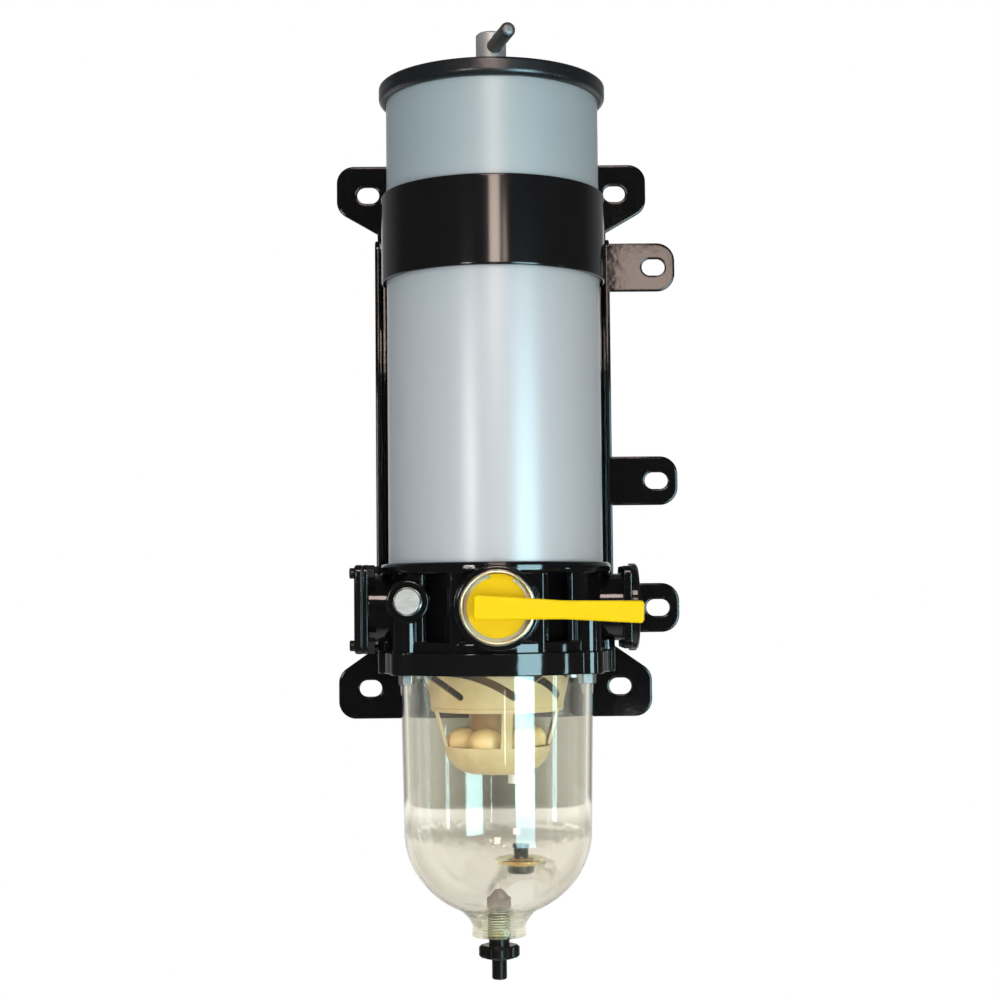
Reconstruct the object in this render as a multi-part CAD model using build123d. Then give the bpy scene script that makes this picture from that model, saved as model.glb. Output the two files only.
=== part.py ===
from build123d import *
import math
import os

# Fuel filter and water separator on a wall bracket: a tall can with a filter cartridge, a lid
# screwed down by a T-handle, a cast head with a lever valve and two ports, and a clear bowl.
# Millimetres. +Z up, +X right, the front faces -Y, and the bracket's back face is y = 0.
# The origin is the centre of the four slotted holes in the bracket's ears.

# The can's axis stands this far in front of the wall
AXIS_OUT = 84.0
AXIS_Y = -AXIS_OUT

# Clearances
RUN = 0.05            # turning or sliding fit, on the radius
SLIP = 0.1            # hand fit of parts that stay still
SCREW_PLAY = 0.3      # clearance hole round a screw, on the radius
SWING_GAP = 0.4       # between faces that pass each other

# Bracket of bent sheet
SHEET = 3.0
BEND_R = 4.0
WEB_HALF = 72.5       # outer face of the side flanges
FLANGE_OUT = 34.0     # how far the side flanges stand off the wall
FLANGE_TOP = 121.5
FLANGE_BOTTOM = -124.0
FLANGE_CORNER = 6.0
EAR_HALF = 98.25
LOW_EAR_EDGE = 28.0   # straight outer edge of an ear, before its corners are rounded
HIGH_EAR_EDGE = 28.8
LOW_EAR_SLOPE = 35.0  # degrees
HIGH_EAR_SLOPE = 30.0
EAR_CORNER = 10.8
SLOT_X = 78.3
SLOT_Z = 156.2
EAR_TOP = SLOT_Z + 18.6
EAR_BOTTOM = -SLOT_Z - 18.9
SLOT_LENGTH = 14.0
SLOT_WIDTH = 10.3
SHEET_ROUND = 0.7     # rounded edges of the painted sheet
TAB_REACH = 112.7
TAB_HEIGHT = 30.0
TAB_CORNER = 11.0
TAB_CENTRES = (103.2, -29.1, -107.0)
TAB_SLOT_X = 99.6
TAB_SLOT_LENGTH = 14.3
TAB_SLOT_WIDTH = 10.2

# Heights of the stack, built from the joint between head and bowl ring
JOINT_Z = -130.5
HEAD_HEIGHT = 50.5
RIM_THICK = 6.4
SOCKET_DEPTH = 5.0
GASKET_THICK = 1.5
CAN_LENGTH = 278.9
LID_PLATE = 4.0
LID_SKIRT = 9.9       # whole height of the lid's edge

# Can and lid
CAN_R = 62.5
CAN_WALL = 1.6
LID_R = 66.7
LID_EDGE_R = 3.2
LID_BOSS_R = 16.0
LID_BOSS_HEIGHT = 3.2

# Clamp band
BAND_THICK = 3.0
BAND_HEIGHT = 51.0
BAND_Z = 110.0
BAND_GAP = 28.0       # opening at the back, between its two feet
BAND_FOOT = 24.0
CLAMP_SCREW_R = 3.0
CLAMP_SCREW_APART = 30.0
CLAMP_HEAD_R = 5.5
CLAMP_HEAD_THICK = 3.2

# Cast head
CAST_ROUND = 1.2      # rounded edges of the casting
CORE_R = 50.0
BODY_R = 62.0
RIM_R = 66.95
RIM_ROUND = 2.2
FOOT_FLANGE_THICK = 6.0
SIDE_LUG_WIDTH = 20.0
SIDE_WALL_X = 40.7
POST_R = 8.5
POST_TOP = -112.0
VALVE_Z = -105.5
BOSS_BLOCK_HALF = 26.3
BOSS_BLOCK_OUT = 60.0
BOSS_R = 23.6
BOSS_OUT = 71.0
LIP_R = 20.65
LIP_OUT = 72.5
PAD_WIDTH = 10.0
PAD_HEIGHT = 2.2
FUEL_HOLE_R = 6.0
FUEL_HOLE_RADIUS = 38.0
HEAD_RECESS_R = 28.0
HEAD_RECESS_DEPTH = 4.0

# Ports, on one line through the can's axis
PORT_Z = -106.0
INLET_FACE = 76.2
PORT_FACE = 77.6
NECK_LEFT_R = 20.5
NECK_RIGHT_R = 19.5
NECK_ROOT_R = 21.6
NECK_ROOT_X = 55.0
PORT_BORE_R = 11.0
INLET_FLANGE = 51.0   # height and width of the square flange
INLET_FLANGE_THICK = 2.8
OUTLET_FLANGE = 47.5
OUTLET_FLANGE_THICK = 4.6
FLANGE_LUG_R = 4.8
COVER_THICK = 4.2
COVER_GASKET = 0.8
INLET_SCREW_R = 2.5
INLET_HEAD_R = 3.1
INLET_HEAD_THICK = 2.8
NUT_FLATS = 8.0
NUT_THICK = 3.8
OUTLET_DISC_R = 25.4
OUTLET_DISC_THICK = 4.7
OUTLET_SPIGOT = 15.0
OUTLET_BORE_R = 9.0
OUTLET_SCREW_R = 1.5
OUTLET_SCREW_PCD = 32.0
OUTLET_SCREW_DEPTH = 9.0
OUTLET_SEAL_R = 20.0
SEAL_SECTION = 1.6

# Side plug
PLUG_X = -49.9
PLUG_Z = -101.7
PLUG_BOSS_R = 12.0
PLUG_BOSS_OUT = 46.0
PLUG_FLATS = 15.0
PLUG_CORNER_R = 8.0
PLUG_HEAD_THICK = 5.5
PLUG_THREAD_R = 5.0
PLUG_DEPTH = 11.0
PLUG_WASHER = 1.0

# Lever valve
ROTOR_R = 14.0
ROTOR_BACK = 14.0     # behind the can's axis
ROTOR_PASSAGE_R = 8.0
HUB_R = 18.8
HUB_THICK = 5.2
CIRCLIP_IN_R = 16.75
CIRCLIP_OUT_R = 19.8
CIRCLIP_THICK = 1.1
CIRCLIP_GAP = 43.0    # degrees, near the top
CIRCLIP_TURN = 8.5    # degrees, clockwise from the top
CIRCLIP_DEPTH = 2.5   # from the lip's face to the groove
TANG = 12.0
TANG_DEPTH = 3.0
LEVER_REACH = 78.9
LEVER_TAIL = 13.2
LEVER_ROOT_HEIGHT = 14.0
LEVER_WAIST_HEIGHT = 10.1
LEVER_END_HEIGHT = 12.2
LEVER_OUT = 86.0      # front face of the lever, from the can's axis
LEVER_THICK = 8.5
LEVER_DROOP = 2.0     # degrees
LEVER_EDGE = 1.6
LEVER_WAIST_R = 60.0
LEVER_CORNER = 2.2

# Bowl ring and its bolts
RING_HEIGHT = 12.5
RING_LUG_R = 9.5
RING_SHELF = 5.0
RING_BOLT_R = 3.0
RING_BOLT_FLATS = 9.0
RING_BOLT_HEAD = 5.5
RING_BOLT_DEPTH = 12.0

# Clear bowl
BOWL_TOP_R = 56.2
BOWL_DRAFT = 1.8      # how far the sides lean in from the ring to the dome
BOWL_DOME_Z = -234.6
BOWL_DOME_DEPTH = 49.7
BOWL_WALL = 3.5
NECK_R = 15.6
NECK_BOTTOM = -294.6
NECK_BLEND_TOP_R = 24.0
NECK_BLEND_DEPTH = 9.5
BOWL_GASKET = 1.0

# Water probe in a moulded pocket
PROBE_X = 13.6
PROBE_BACK = 22.0
POCKET_R = 15.5
POCKET_WALL = 2.6
SHELF_Z = -254.2
PROBE_THREAD_R = 4.0
PROBE_RISE = 6.4
PROBE_HEAD_R = 8.0
PROBE_HEAD_THICK = 4.9
PROBE_SEAL = 1.4
PROBE_TIP_R = 5.0
PROBE_TIP_THICK = 2.1

# Drain
DRAIN_THREAD_R = 6.1
DRAIN_TRAVEL = 3.0
KNOB_TOP = -300.2
KNOB_THICK = 7.2
KNOB_R = 11.8
KNOB_LOBE_R = 5.4
KNOB_BEVEL = 1.3
NIPPLE_R = 4.35
NIPPLE_BORE_R = 2.2
NIPPLE_LENGTH = 12.3
DRAIN_SEAL_R = 7.0
DRAIN_SEAL_TIP_R = 2.6
DRAIN_SEAL_HEIGHT = 11.6
DRAIN_SEAL_SIDE = 6.3
DRAIN_PIN_R = 3.0
DRAIN_PIN_LENGTH = 6.0
SEAT_R = 9.0

# Turbine
TURBINE_TOP_R = 45.5
TURBINE_LIP_R = 38.1
TURBINE_LIP_Z = -164.0
TURBINE_PLATE = 3.0
MOULD_WALL = 1.8
SWIRL_SLOTS = 8
SWIRL_SLOT_WIDTH = 4.6
SWIRL_SLOT_DEPTH = 16.0
SWIRL_SLOT_Z = -146.4
SWIRL_SLOT_START = (-18.5, 4.5)    # across and up from the slot's middle, on the cone's side
SWIRL_SLOT_MIDDLE = (5.0, -0.8)
SWIRL_SLOT_END = (18.0, -9.1)
SWIRL_SLOT_PHASE = -14.0
STRUTS = 4
STRUT_WIDTH = 6.1
STRUT_PHASE = 8.6
STRUT_DROP = 21.2
CUP_DEPTH = 15.9
CUP_R = 31.0
CUP_FLOOR_R = 17.0
INNER_TUBE_R = 16.5
LOBES = 6
LOBE_PHASE = -20.0
LOBE_REACH = 29.0
LOBE_R = 9.5
LOBE_TOP_Z = -174.5
LOBE_BOTTOM_Z = -185.6
TURBINE_SCREW_R = 2.0
TURBINE_SCREW_RADIUS = 35.0
TURBINE_SCREW_HEAD_R = 3.4
TURBINE_SCREW_HEAD = 2.2
TURBINE_SCREW_DEPTH = 7.0
CHECK_BALL_R = 6.0
BALL_SEAT_R = 4.0
BALL_SEAT_Z = -150.0
CUP_PLUG_X = 10.3
CUP_PLUG_R = 2.6
CUP_PLUG_LENGTH = 6.4

# Return tube, cartridge and T-handle
TUBE_R = 9.5
TUBE_WALL = 1.8
TUBE_SEAT = 4.0
TUBE_BELOW_LID = 13.9 # from the lid's underside down to the tube's top
TUBE_NUT = 22.0       # threaded end of the tube
TUBE_HOLE_R = 3.0
TUBE_HOLE_RISE = 20.0 # of its cross holes above the cartridge's lower cap
STEM_R = 5.5
STEM_REACH = 15.0     # thread held in the tube
HANDLE_R = 9.0
HANDLE_HEIGHT = 27.6
PIN_R = 4.4
PIN_HALF = 42.3
PIN_BELOW_TOP = 9.2
PIN_TURN = 13.6       # degrees, from the front towards the right
PIN_END = 3.0
WASHER_R = 8.9
WASHER_THICK = 2.0
CARTRIDGE_R = 57.5
CARTRIDGE_CAP = 2.5
CARTRIDGE_TOP_SPACE = 34.0
CARTRIDGE_FOOT = 11.0
MEDIA_R = 55.0
MEDIA_FOLD = 6.0
MEDIA_FOLDS = 40
CORE_TUBE_R = 24.0
CORE_TUBE_WALL = 1.2
CORE_HOLE_R = 4.0
GROMMET_R = 14.0
BAIL_WIRE_R = 1.5
BAIL_HALF = 22.0
BAIL_HEIGHT = 16.0
BAIL_END = 3.0        # how far the wire goes through its ear, and stays clear of it inside
BAIL_X = 36.0
BAIL_EAR_HALF = 4.0    # half the length of an ear of the top cap, and the height of its hole
BAIL_EAR_THICK = 3.0

# Screws from behind the bracket into the head
HEAD_SCREW_R = 2.5
HEAD_SCREW_X = 30.0
HEAD_SCREW_Z = (-96.0, -121.0)
HEAD_SCREW_DEPTH = 15.0
HEAD_SCREW_HEAD_R = 5.0
REAR_BOSS_R = 8.0

# Radii that follow from the bowl
BOWL_FLANGE_R = BOWL_TOP_R + 1.8
RING_LIP_R = BOWL_TOP_R + 0.5
RING_R = BOWL_FLANGE_R + 8.0
FOOT_FLANGE_R = RING_R - 2.0
SIDE_LUG_REACH = RING_R + 2.7
BOLT_CIRCLE_R = BOWL_FLANGE_R + 4.1
BOLT_ANGLE = math.radians(35.4)                    # of posts and ring bolts, from the port line
POST_X = BOLT_CIRCLE_R * math.cos(BOLT_ANGLE)
POST_OUT = BOLT_CIRCLE_R * math.sin(BOLT_ANGLE)    # in front of and behind the axis

# Heights that follow from the sizes above
RIM_TOP = JOINT_Z + HEAD_HEIGHT
RIM_BOTTOM = RIM_TOP - RIM_THICK
SOCKET_FLOOR = RIM_TOP - SOCKET_DEPTH
CAN_BOTTOM = SOCKET_FLOOR + GASKET_THICK
CAN_TOP = CAN_BOTTOM + CAN_LENGTH
LID_UNDER = CAN_TOP + GASKET_THICK
LID_TOP = LID_UNDER + LID_PLATE
BOSS_TOP = LID_TOP + LID_BOSS_HEIGHT
RING_BOTTOM = JOINT_Z - RING_HEIGHT
BOWL_TOP = JOINT_Z - BOWL_GASKET
BOWL_REST = JOINT_Z - RING_SHELF
DOME_R = BOWL_TOP_R - BOWL_DRAFT
SEAT_Z = BOWL_DOME_Z - BOWL_DOME_DEPTH + BOWL_WALL + 0.3
LID_SKIRT_BOTTOM = LID_TOP - LID_SKIRT
TUBE_TOP = LID_UNDER - TUBE_BELOW_LID
HANDLE_TOP = BOSS_TOP + WASHER_THICK + HANDLE_HEIGHT
PIN_Z = HANDLE_TOP - PIN_BELOW_TOP
CUP_TOP_Z = TURBINE_LIP_Z - STRUT_DROP
CUP_BOTTOM_Z = CUP_TOP_Z - CUP_DEPTH


def disc(radius, low, high):
    """A cylinder about the can's axis, between two heights."""
    return Pos(0, AXIS_Y, (low + high) / 2) * Cylinder(radius, high - low)


def tube(outer, inner, low, high):
    return disc(outer, low, high) - disc(inner, low, high)


def upright(x, out, radius, low, high):
    """A vertical cylinder at x, and at a distance in front of the can's axis."""
    return Pos(x, AXIS_Y - out, (low + high) / 2) * Cylinder(radius, high - low)


def along_y(x, z, radius, front, back):
    """A cylinder from front to back, at distances in front of the can's axis."""
    middle = AXIS_Y - (front + back) / 2
    return Pos(x, middle, z) * Rot(90, 0, 0) * Cylinder(radius, front - back)


def along_x(z, radius, left, right, out=0.0):
    middle = (left + right) / 2
    return Pos(middle, AXIS_Y - out, z) * Rot(0, 90, 0) * Cylinder(radius, right - left)


def block(x0, x1, y0, y1, z0, z1):
    centre = Pos((x0 + x1) / 2, (y0 + y1) / 2, (z0 + z1) / 2)
    return centre * Box(x1 - x0, y1 - y0, z1 - z0)


def turned(section):
    """Turns a half-section, drawn as (radius, height), about the can's axis."""
    return Pos(0, AXIS_Y, 0) * revolve(Plane.XZ * make_face(section), Axis.Z)


def turned_points(*points):
    return turned(Polyline(*points, close=True))


def on_wall(sketch, depth, x=0.0, z=0.0, y=0.0):
    """Extrudes an (x, z) sketch towards the front, starting at y."""
    return Pos(x, y, z) * extrude(Plane.XZ * sketch, depth)


def hexagon(flats, thick):
    return extrude(RegularPolygon(flats / 2, 6, major_radius=False), thick)


def ear_points():
    """The web and its four ears, right half, from bottom to top."""
    reach = EAR_HALF - WEB_HALF
    low_out = EAR_BOTTOM + LOW_EAR_EDGE
    high_out = EAR_TOP - HIGH_EAR_EDGE
    low_in = low_out + reach * math.tan(math.radians(LOW_EAR_SLOPE))
    high_in = high_out - reach * math.tan(math.radians(HIGH_EAR_SLOPE))
    return [(EAR_HALF, EAR_BOTTOM), (EAR_HALF, low_out), (WEB_HALF, low_in),
            (WEB_HALF, high_in), (EAR_HALF, high_out), (EAR_HALF, EAR_TOP)]


def flange(side):
    """A side flange, with its front corners rounded and its bend to the web."""
    outer = side * WEB_HALF
    inner = side * (WEB_HALF - SHEET)
    wall = block(min(outer, inner), max(outer, inner), -FLANGE_OUT, -SHEET / 2,
                 FLANGE_BOTTOM, FLANGE_TOP)
    front = wall.edges().filter_by(Axis.X).group_by(Axis.Y)[0]
    wall = fillet(front, FLANGE_CORNER)
    outline = [e for e in wall.faces().filter_by(Axis.X).edges() if e.center().Y < -SHEET / 2 - 0.01]
    return fillet(outline, SHEET_ROUND)


def round_sheet(plate, inner_end=-EAR_HALF - 1):
    """Rounds the edges of a flat piece of sheet, and of its holes, on both faces."""
    edges = plate.faces().filter_by(Axis.Y).edges()
    return fillet([e for e in edges if e.center().X > inner_end + 0.01], SHEET_ROUND)


def bend_cutter(side):
    """What the bend's outer radius takes off the square corner of web and flange."""
    corner = block(WEB_HALF - BEND_R, WEB_HALF + 1, -BEND_R, 1, FLANGE_BOTTOM, FLANGE_TOP)
    height = FLANGE_TOP - FLANGE_BOTTOM
    round_part = Pos(WEB_HALF - BEND_R, -BEND_R, FLANGE_BOTTOM + height / 2) * Cylinder(BEND_R, height)
    cutter = corner - round_part
    return cutter if side > 0 else mirror(cutter, Plane.YZ)


def tab(centre_z):
    """A slotted tab bent outwards from the right flange's front edge."""
    inner = WEB_HALF - SHEET / 2
    plate = block(inner, TAB_REACH, -FLANGE_OUT, -FLANGE_OUT + SHEET,
                  centre_z - TAB_HEIGHT / 2, centre_z + TAB_HEIGHT / 2)
    ends = plate.edges().filter_by(Axis.Y).group_by(Axis.X)[-1]
    plate = fillet(ends, TAB_CORNER)
    slot = on_wall(SlotOverall(TAB_SLOT_LENGTH, TAB_SLOT_WIDTH), SHEET, TAB_SLOT_X, centre_z,
                   -FLANGE_OUT + SHEET)
    return round_sheet(plate - slot, inner)


def clamp_screw_places():
    x = BAND_GAP / 2 + BAND_THICK + (BAND_FOOT - BAND_THICK) / 2
    return [(side * x, BAND_Z + up * CLAMP_SCREW_APART / 2) for side in (-1, 1) for up in (-1, 1)]


def head_screw_places():
    return [(side * HEAD_SCREW_X, z) for side in (-1, 1) for z in HEAD_SCREW_Z]


def countersink(x, z, radius, head_r):
    """A countersunk head's cone, flush with the bracket's back face."""
    depth = head_r - radius
    cone = Cone(head_r, radius, depth)
    return Pos(x, -depth / 2, z) * Rot(90, 0, 0) * cone


def mounting_bracket():
    right = ear_points()
    left = [(-x, z) for x, z in reversed(right)]
    web = on_wall(make_face(Polyline(*right, *left, close=True)), SHEET)
    corners = [e for e in web.edges().filter_by(Axis.Y) if abs(e.center().X) > EAR_HALF - 0.01]
    bracket = fillet(corners, EAR_CORNER)
    for side in (-1, 1):
        for up in (-1, 1):
            bracket -= on_wall(SlotOverall(SLOT_LENGTH, SLOT_WIDTH), SHEET, side * SLOT_X, up * SLOT_Z)
    bracket = round_sheet(bracket)
    for side in (-1, 1):
        bracket += flange(side)
        bracket -= bend_cutter(side)
    for centre_z in TAB_CENTRES:
        bracket += tab(centre_z)
    for x, z in clamp_screw_places():
        bracket -= on_wall(Circle(CLAMP_SCREW_R + RUN), SHEET, x, z)
    for x, z in head_screw_places():
        bracket -= on_wall(Circle(HEAD_SCREW_R + RUN), SHEET, x, z)
        bracket -= countersink(x, z, HEAD_SCREW_R + RUN, HEAD_SCREW_HEAD_R + RUN)
    return bracket


def clamp_band():
    """A strap round the can, open at the back, whose two ends are feet on the bracket."""
    inner = CAN_R + SLIP
    low = BAND_Z - BAND_HEIGHT / 2
    high = BAND_Z + BAND_HEIGHT / 2
    strap = tube(inner + BAND_THICK, inner, low, high)
    strap = fillet(strap.edges().filter_by(GeomType.CIRCLE), BAND_THICK / 4)
    half = BAND_GAP / 2
    strap -= block(-half, half, AXIS_Y, AXIS_Y + 2 * CAN_R, low, high)
    leg_x = half + BAND_THICK
    start = AXIS_Y + math.sqrt((inner + BAND_THICK / 2) ** 2 - leg_x ** 2)
    for side in (-1, 1):
        leg = block(min(side * half, side * leg_x), max(side * half, side * leg_x), start, -SHEET, low, high)
        toe = side * (half + BAND_FOOT)
        foot = block(min(side * half, toe), max(side * half, toe), -SHEET - BAND_THICK, -SHEET, low, high)
        strap += leg + foot
    for x, z in clamp_screw_places():
        strap -= on_wall(Circle(CLAMP_SCREW_R + SCREW_PLAY), BAND_THICK, x, z, -SHEET)
    return strap


def clamp_screws():
    """Four pan-head screws that hold the band's feet to the web, each with a hexagon socket."""
    screws = []
    for x, z in clamp_screw_places():
        shank = on_wall(Circle(CLAMP_SCREW_R), SHEET + BAND_THICK, x, z)
        head = on_wall(Circle(CLAMP_HEAD_R), CLAMP_HEAD_THICK, x, z, -SHEET - BAND_THICK)
        head = fillet(head.edges().filter_by(GeomType.CIRCLE).group_by(Axis.Y)[0], CLAMP_HEAD_THICK / 3)
        top = -SHEET - BAND_THICK - CLAMP_HEAD_THICK
        socket = Pos(x, top + CLAMP_HEAD_THICK / 2, z) * Rot(90, 0, 0) * hexagon(CLAMP_HEAD_R, CLAMP_HEAD_THICK)
        screws.append(shank + head - socket)
    return screws


def head_screws():
    screws = []
    for x, z in head_screw_places():
        shank = on_wall(Circle(HEAD_SCREW_R), HEAD_SCREW_DEPTH, x, z)
        screw = shank + countersink(x, z, HEAD_SCREW_R, HEAD_SCREW_HEAD_R)
        socket = Pos(x, 0, z) * Rot(90, 0, 0) * hexagon(HEAD_SCREW_R, HEAD_SCREW_R / 2)
        screws.append(screw - socket)
    return screws


def post_places():
    return [(sx * POST_X, sy * POST_OUT) for sx in (-1, 1) for sy in (-1, 1)]


def square_flange(side, size, from_x, thick):
    """A square plate with rounded corners, across the port's line."""
    plate = extrude(RectangleRounded(size, size, FLANGE_LUG_R), thick / 2, both=True)
    return Pos(side * (from_x - thick / 2), AXIS_Y, PORT_Z) * Rot(0, 90, 0) * plate


def head_outside():
    """The casting's outer form, before its passages are cut."""
    body = disc(CORE_R, JOINT_Z, RIM_BOTTOM + 1)
    rim = disc(RIM_R, RIM_BOTTOM, RIM_TOP)
    body += fillet(rim.edges().filter_by(GeomType.CIRCLE), RIM_ROUND)
    sides = disc(BODY_R, JOINT_Z, RIM_BOTTOM)
    sides -= block(-SIDE_WALL_X, SIDE_WALL_X, AXIS_Y - RIM_R, AXIS_Y + RIM_R, JOINT_Z, RIM_BOTTOM)
    body += fillet(sides.edges().filter_by(Axis.Z), CAST_ROUND)
    foot = disc(FOOT_FLANGE_R, JOINT_Z, JOINT_Z + FOOT_FLANGE_THICK)
    foot = fillet(foot.edges().filter_by(GeomType.CIRCLE).group_by(Axis.Z)[-1], CAST_ROUND)
    body += foot + side_lugs(JOINT_Z, JOINT_Z + FOOT_FLANGE_THICK)
    for x, out in post_places():
        body += upright(x, out, POST_R, JOINT_Z, POST_TOP)
    boss_block = block(-BOSS_BLOCK_HALF, BOSS_BLOCK_HALF, AXIS_Y - BOSS_BLOCK_OUT, AXIS_Y, JOINT_Z, RIM_BOTTOM)
    body += fillet(boss_block.edges().filter_by(Axis.Z).group_by(Axis.Y)[0], CAST_ROUND)
    return body + ports_outside() + valve_boss() + rear_bosses()


def side_lugs(low, high):
    """The bar across head and ring that stands out as a lug at each side."""
    lug = block(-SIDE_LUG_REACH, SIDE_LUG_REACH, AXIS_Y - SIDE_LUG_WIDTH / 2,
                AXIS_Y + SIDE_LUG_WIDTH / 2, low, high)
    return fillet(lug.edges().filter_by(Axis.Z), SIDE_LUG_WIDTH / 4)


def ports_outside():
    """Both necks with their square flanges, and the round boss of the side plug."""
    left = along_x(PORT_Z, NECK_LEFT_R, -INLET_FACE, 0)
    right = along_x(PORT_Z, NECK_RIGHT_R, 0, PORT_FACE)
    root = along_x(PORT_Z, NECK_ROOT_R, 0, NECK_ROOT_X)
    outer_edge = root.edges().filter_by(GeomType.CIRCLE).group_by(Axis.X)[-1]
    root = fillet(outer_edge, (NECK_ROOT_R - NECK_RIGHT_R) * 0.8)
    plates = Part()
    for side, size, face, thick in ((-1, INLET_FLANGE, INLET_FACE, INLET_FLANGE_THICK),
                                    (1, OUTLET_FLANGE, PORT_FACE, OUTLET_FLANGE_THICK)):
        plate = square_flange(side, size, face, thick)
        plates += fillet(plate.faces().filter_by(Axis.X).edges(), CAST_ROUND / 3)
    plug_boss = along_y(PLUG_X, PLUG_Z, PLUG_BOSS_R, PLUG_BOSS_OUT, 0)
    edge = plug_boss.edges().filter_by(GeomType.CIRCLE).group_by(Axis.Y)[0]
    return left + right + root + plates + fillet(edge, 1.0)


def valve_boss():
    """The round boss at the front, its machined lip and the flat pad above it."""
    boss = along_y(0, VALVE_Z, BOSS_R, BOSS_OUT, 0)
    edge = boss.edges().filter_by(GeomType.CIRCLE).group_by(Axis.Y)[0]
    boss = fillet(edge, 1.4)
    lip = along_y(0, VALVE_Z, LIP_R, LIP_OUT, 0)
    lip_edge = lip.edges().filter_by(GeomType.CIRCLE).group_by(Axis.Y)[0]
    lip = chamfer(lip_edge, 0.5)
    pad_top = VALVE_Z + BOSS_R + PAD_HEIGHT / 2
    pad = block(-PAD_WIDTH / 2, PAD_WIDTH / 2, AXIS_Y - BOSS_OUT + 1, AXIS_Y - BOSS_BLOCK_OUT + 1,
                pad_top - 2 * PAD_HEIGHT, pad_top)
    return boss + lip + pad


def rear_bosses():
    bosses = []
    for x, z in head_screw_places():
        bosses.append(along_y(x, z, REAR_BOSS_R, 0, -AXIS_OUT + SHEET))
    return Part() + bosses


def head_passages():
    """Everything that is bored or cored out of the head."""
    cut = disc(CAN_R + SLIP, SOCKET_FLOOR, RIM_TOP)
    cut += disc(HEAD_RECESS_R, JOINT_Z, JOINT_Z + HEAD_RECESS_DEPTH)
    cut += disc(TUBE_R + RUN, SOCKET_FLOOR - TUBE_SEAT, SOCKET_FLOOR)
    cut += disc(ROTOR_PASSAGE_R, PORT_Z, SOCKET_FLOOR)
    diagonal = FUEL_HOLE_RADIUS / math.sqrt(2)
    for sx in (-1, 1):
        for sy in (-1, 1):
            cut += upright(sx * diagonal, sy * diagonal, FUEL_HOLE_R, JOINT_Z, SOCKET_FLOOR)
    cut += along_y(0, VALVE_Z, ROTOR_R + RUN, LIP_OUT, -ROTOR_BACK - SWING_GAP)
    cut += along_y(0, VALVE_Z, HUB_R + SWING_GAP / 2, LIP_OUT, hub_back())
    cut += along_y(0, VALVE_Z, CIRCLIP_OUT_R + SLIP, circlip_front() + RUN, circlip_front() - CIRCLIP_THICK - RUN)
    inlet_end = ROTOR_R + MOULD_WALL
    inlet_drop = ROTOR_R + PORT_BORE_R
    cut += along_x(PORT_Z, PORT_BORE_R, -INLET_FACE, -inlet_end - PORT_BORE_R / 2)
    cut += upright(-inlet_drop, 0, FUEL_HOLE_R, JOINT_Z, PORT_Z)
    cut += along_x(PORT_Z, ROTOR_PASSAGE_R, 0, PORT_FACE)
    cut += along_x(PORT_Z, PORT_BORE_R + SLIP, PORT_FACE - OUTLET_SPIGOT - SWING_GAP, PORT_FACE)
    return cut + screw_holes_in_head()


def screw_holes_in_head():
    cut = along_y(PLUG_X, PLUG_Z, PLUG_THREAD_R + RUN, PLUG_BOSS_OUT, PLUG_BOSS_OUT - PLUG_DEPTH - 1)
    for x, out in post_places():
        cut += upright(x, out, RING_BOLT_R + RUN, JOINT_Z, JOINT_Z + RING_BOLT_DEPTH + 1)
    for x, z in head_screw_places():
        cut += on_wall(Circle(HEAD_SCREW_R + RUN), HEAD_SCREW_DEPTH + 1 - SHEET, x, z, -SHEET)
    for y, z in port_screw_places(INLET_FLANGE / 2 - FLANGE_LUG_R):
        cut += Pos(0, y, z) * along_x(0, INLET_SCREW_R + SLIP, -INLET_FACE, -INLET_FACE + INLET_FLANGE_THICK, AXIS_Y)
    for y, z in outlet_screw_places():
        start = PORT_FACE + OUTLET_DISC_THICK - OUTLET_SCREW_DEPTH - 1
        cut += Pos(0, y, z) * along_x(0, OUTLET_SCREW_R + RUN, start, PORT_FACE, AXIS_Y)
    for x, y in turbine_screw_places():
        depth = TURBINE_SCREW_DEPTH + 1
        cut += Pos(x, y, JOINT_Z + depth / 2) * Cylinder(TURBINE_SCREW_R + RUN, depth)
    return cut


def port_screw_places(half):
    return [(AXIS_Y + sy * half, PORT_Z + sz * half) for sy in (-1, 1) for sz in (-1, 1)]


def outlet_screw_places():
    return port_screw_places(OUTLET_SCREW_PCD / 2 / math.sqrt(2))


def turbine_screw_places():
    places = []
    for turn in range(4):
        angle = math.radians(90 * turn)
        places.append((TURBINE_SCREW_RADIUS * math.cos(angle), AXIS_Y + TURBINE_SCREW_RADIUS * math.sin(angle)))
    return places


def circlip_front():
    """Distance of the circlip's front face from the can's axis."""
    return LIP_OUT - CIRCLIP_DEPTH


def hub_front():
    return circlip_front() - CIRCLIP_THICK - SLIP


def hub_back():
    return hub_front() - HUB_THICK


def head_casting():
    return head_outside() - head_passages()


def side_plug():
    front = PLUG_BOSS_OUT + PLUG_WASHER
    head = hexagon(PLUG_FLATS, PLUG_HEAD_THICK)
    limit = Pos(0, 0, PLUG_HEAD_THICK / 2) * Cylinder(PLUG_CORNER_R, PLUG_HEAD_THICK)
    top_edge = limit.edges().filter_by(GeomType.CIRCLE).group_by(Axis.Z)[-1]
    head = head & chamfer(top_edge, 1.0)
    head = Pos(PLUG_X, AXIS_Y - front, PLUG_Z) * Rot(90, 0, 0) * Rot(0, 0, 12) * head
    return head + along_y(PLUG_X, PLUG_Z, PLUG_THREAD_R, front, PLUG_BOSS_OUT - PLUG_DEPTH)


def side_plug_washer():
    ring = along_y(PLUG_X, PLUG_Z, PLUG_CORNER_R, PLUG_BOSS_OUT + PLUG_WASHER, PLUG_BOSS_OUT)
    hole = along_y(PLUG_X, PLUG_Z, PLUG_THREAD_R + RUN, PLUG_BOSS_OUT + PLUG_WASHER, PLUG_BOSS_OUT)
    return ring - hole


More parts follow.
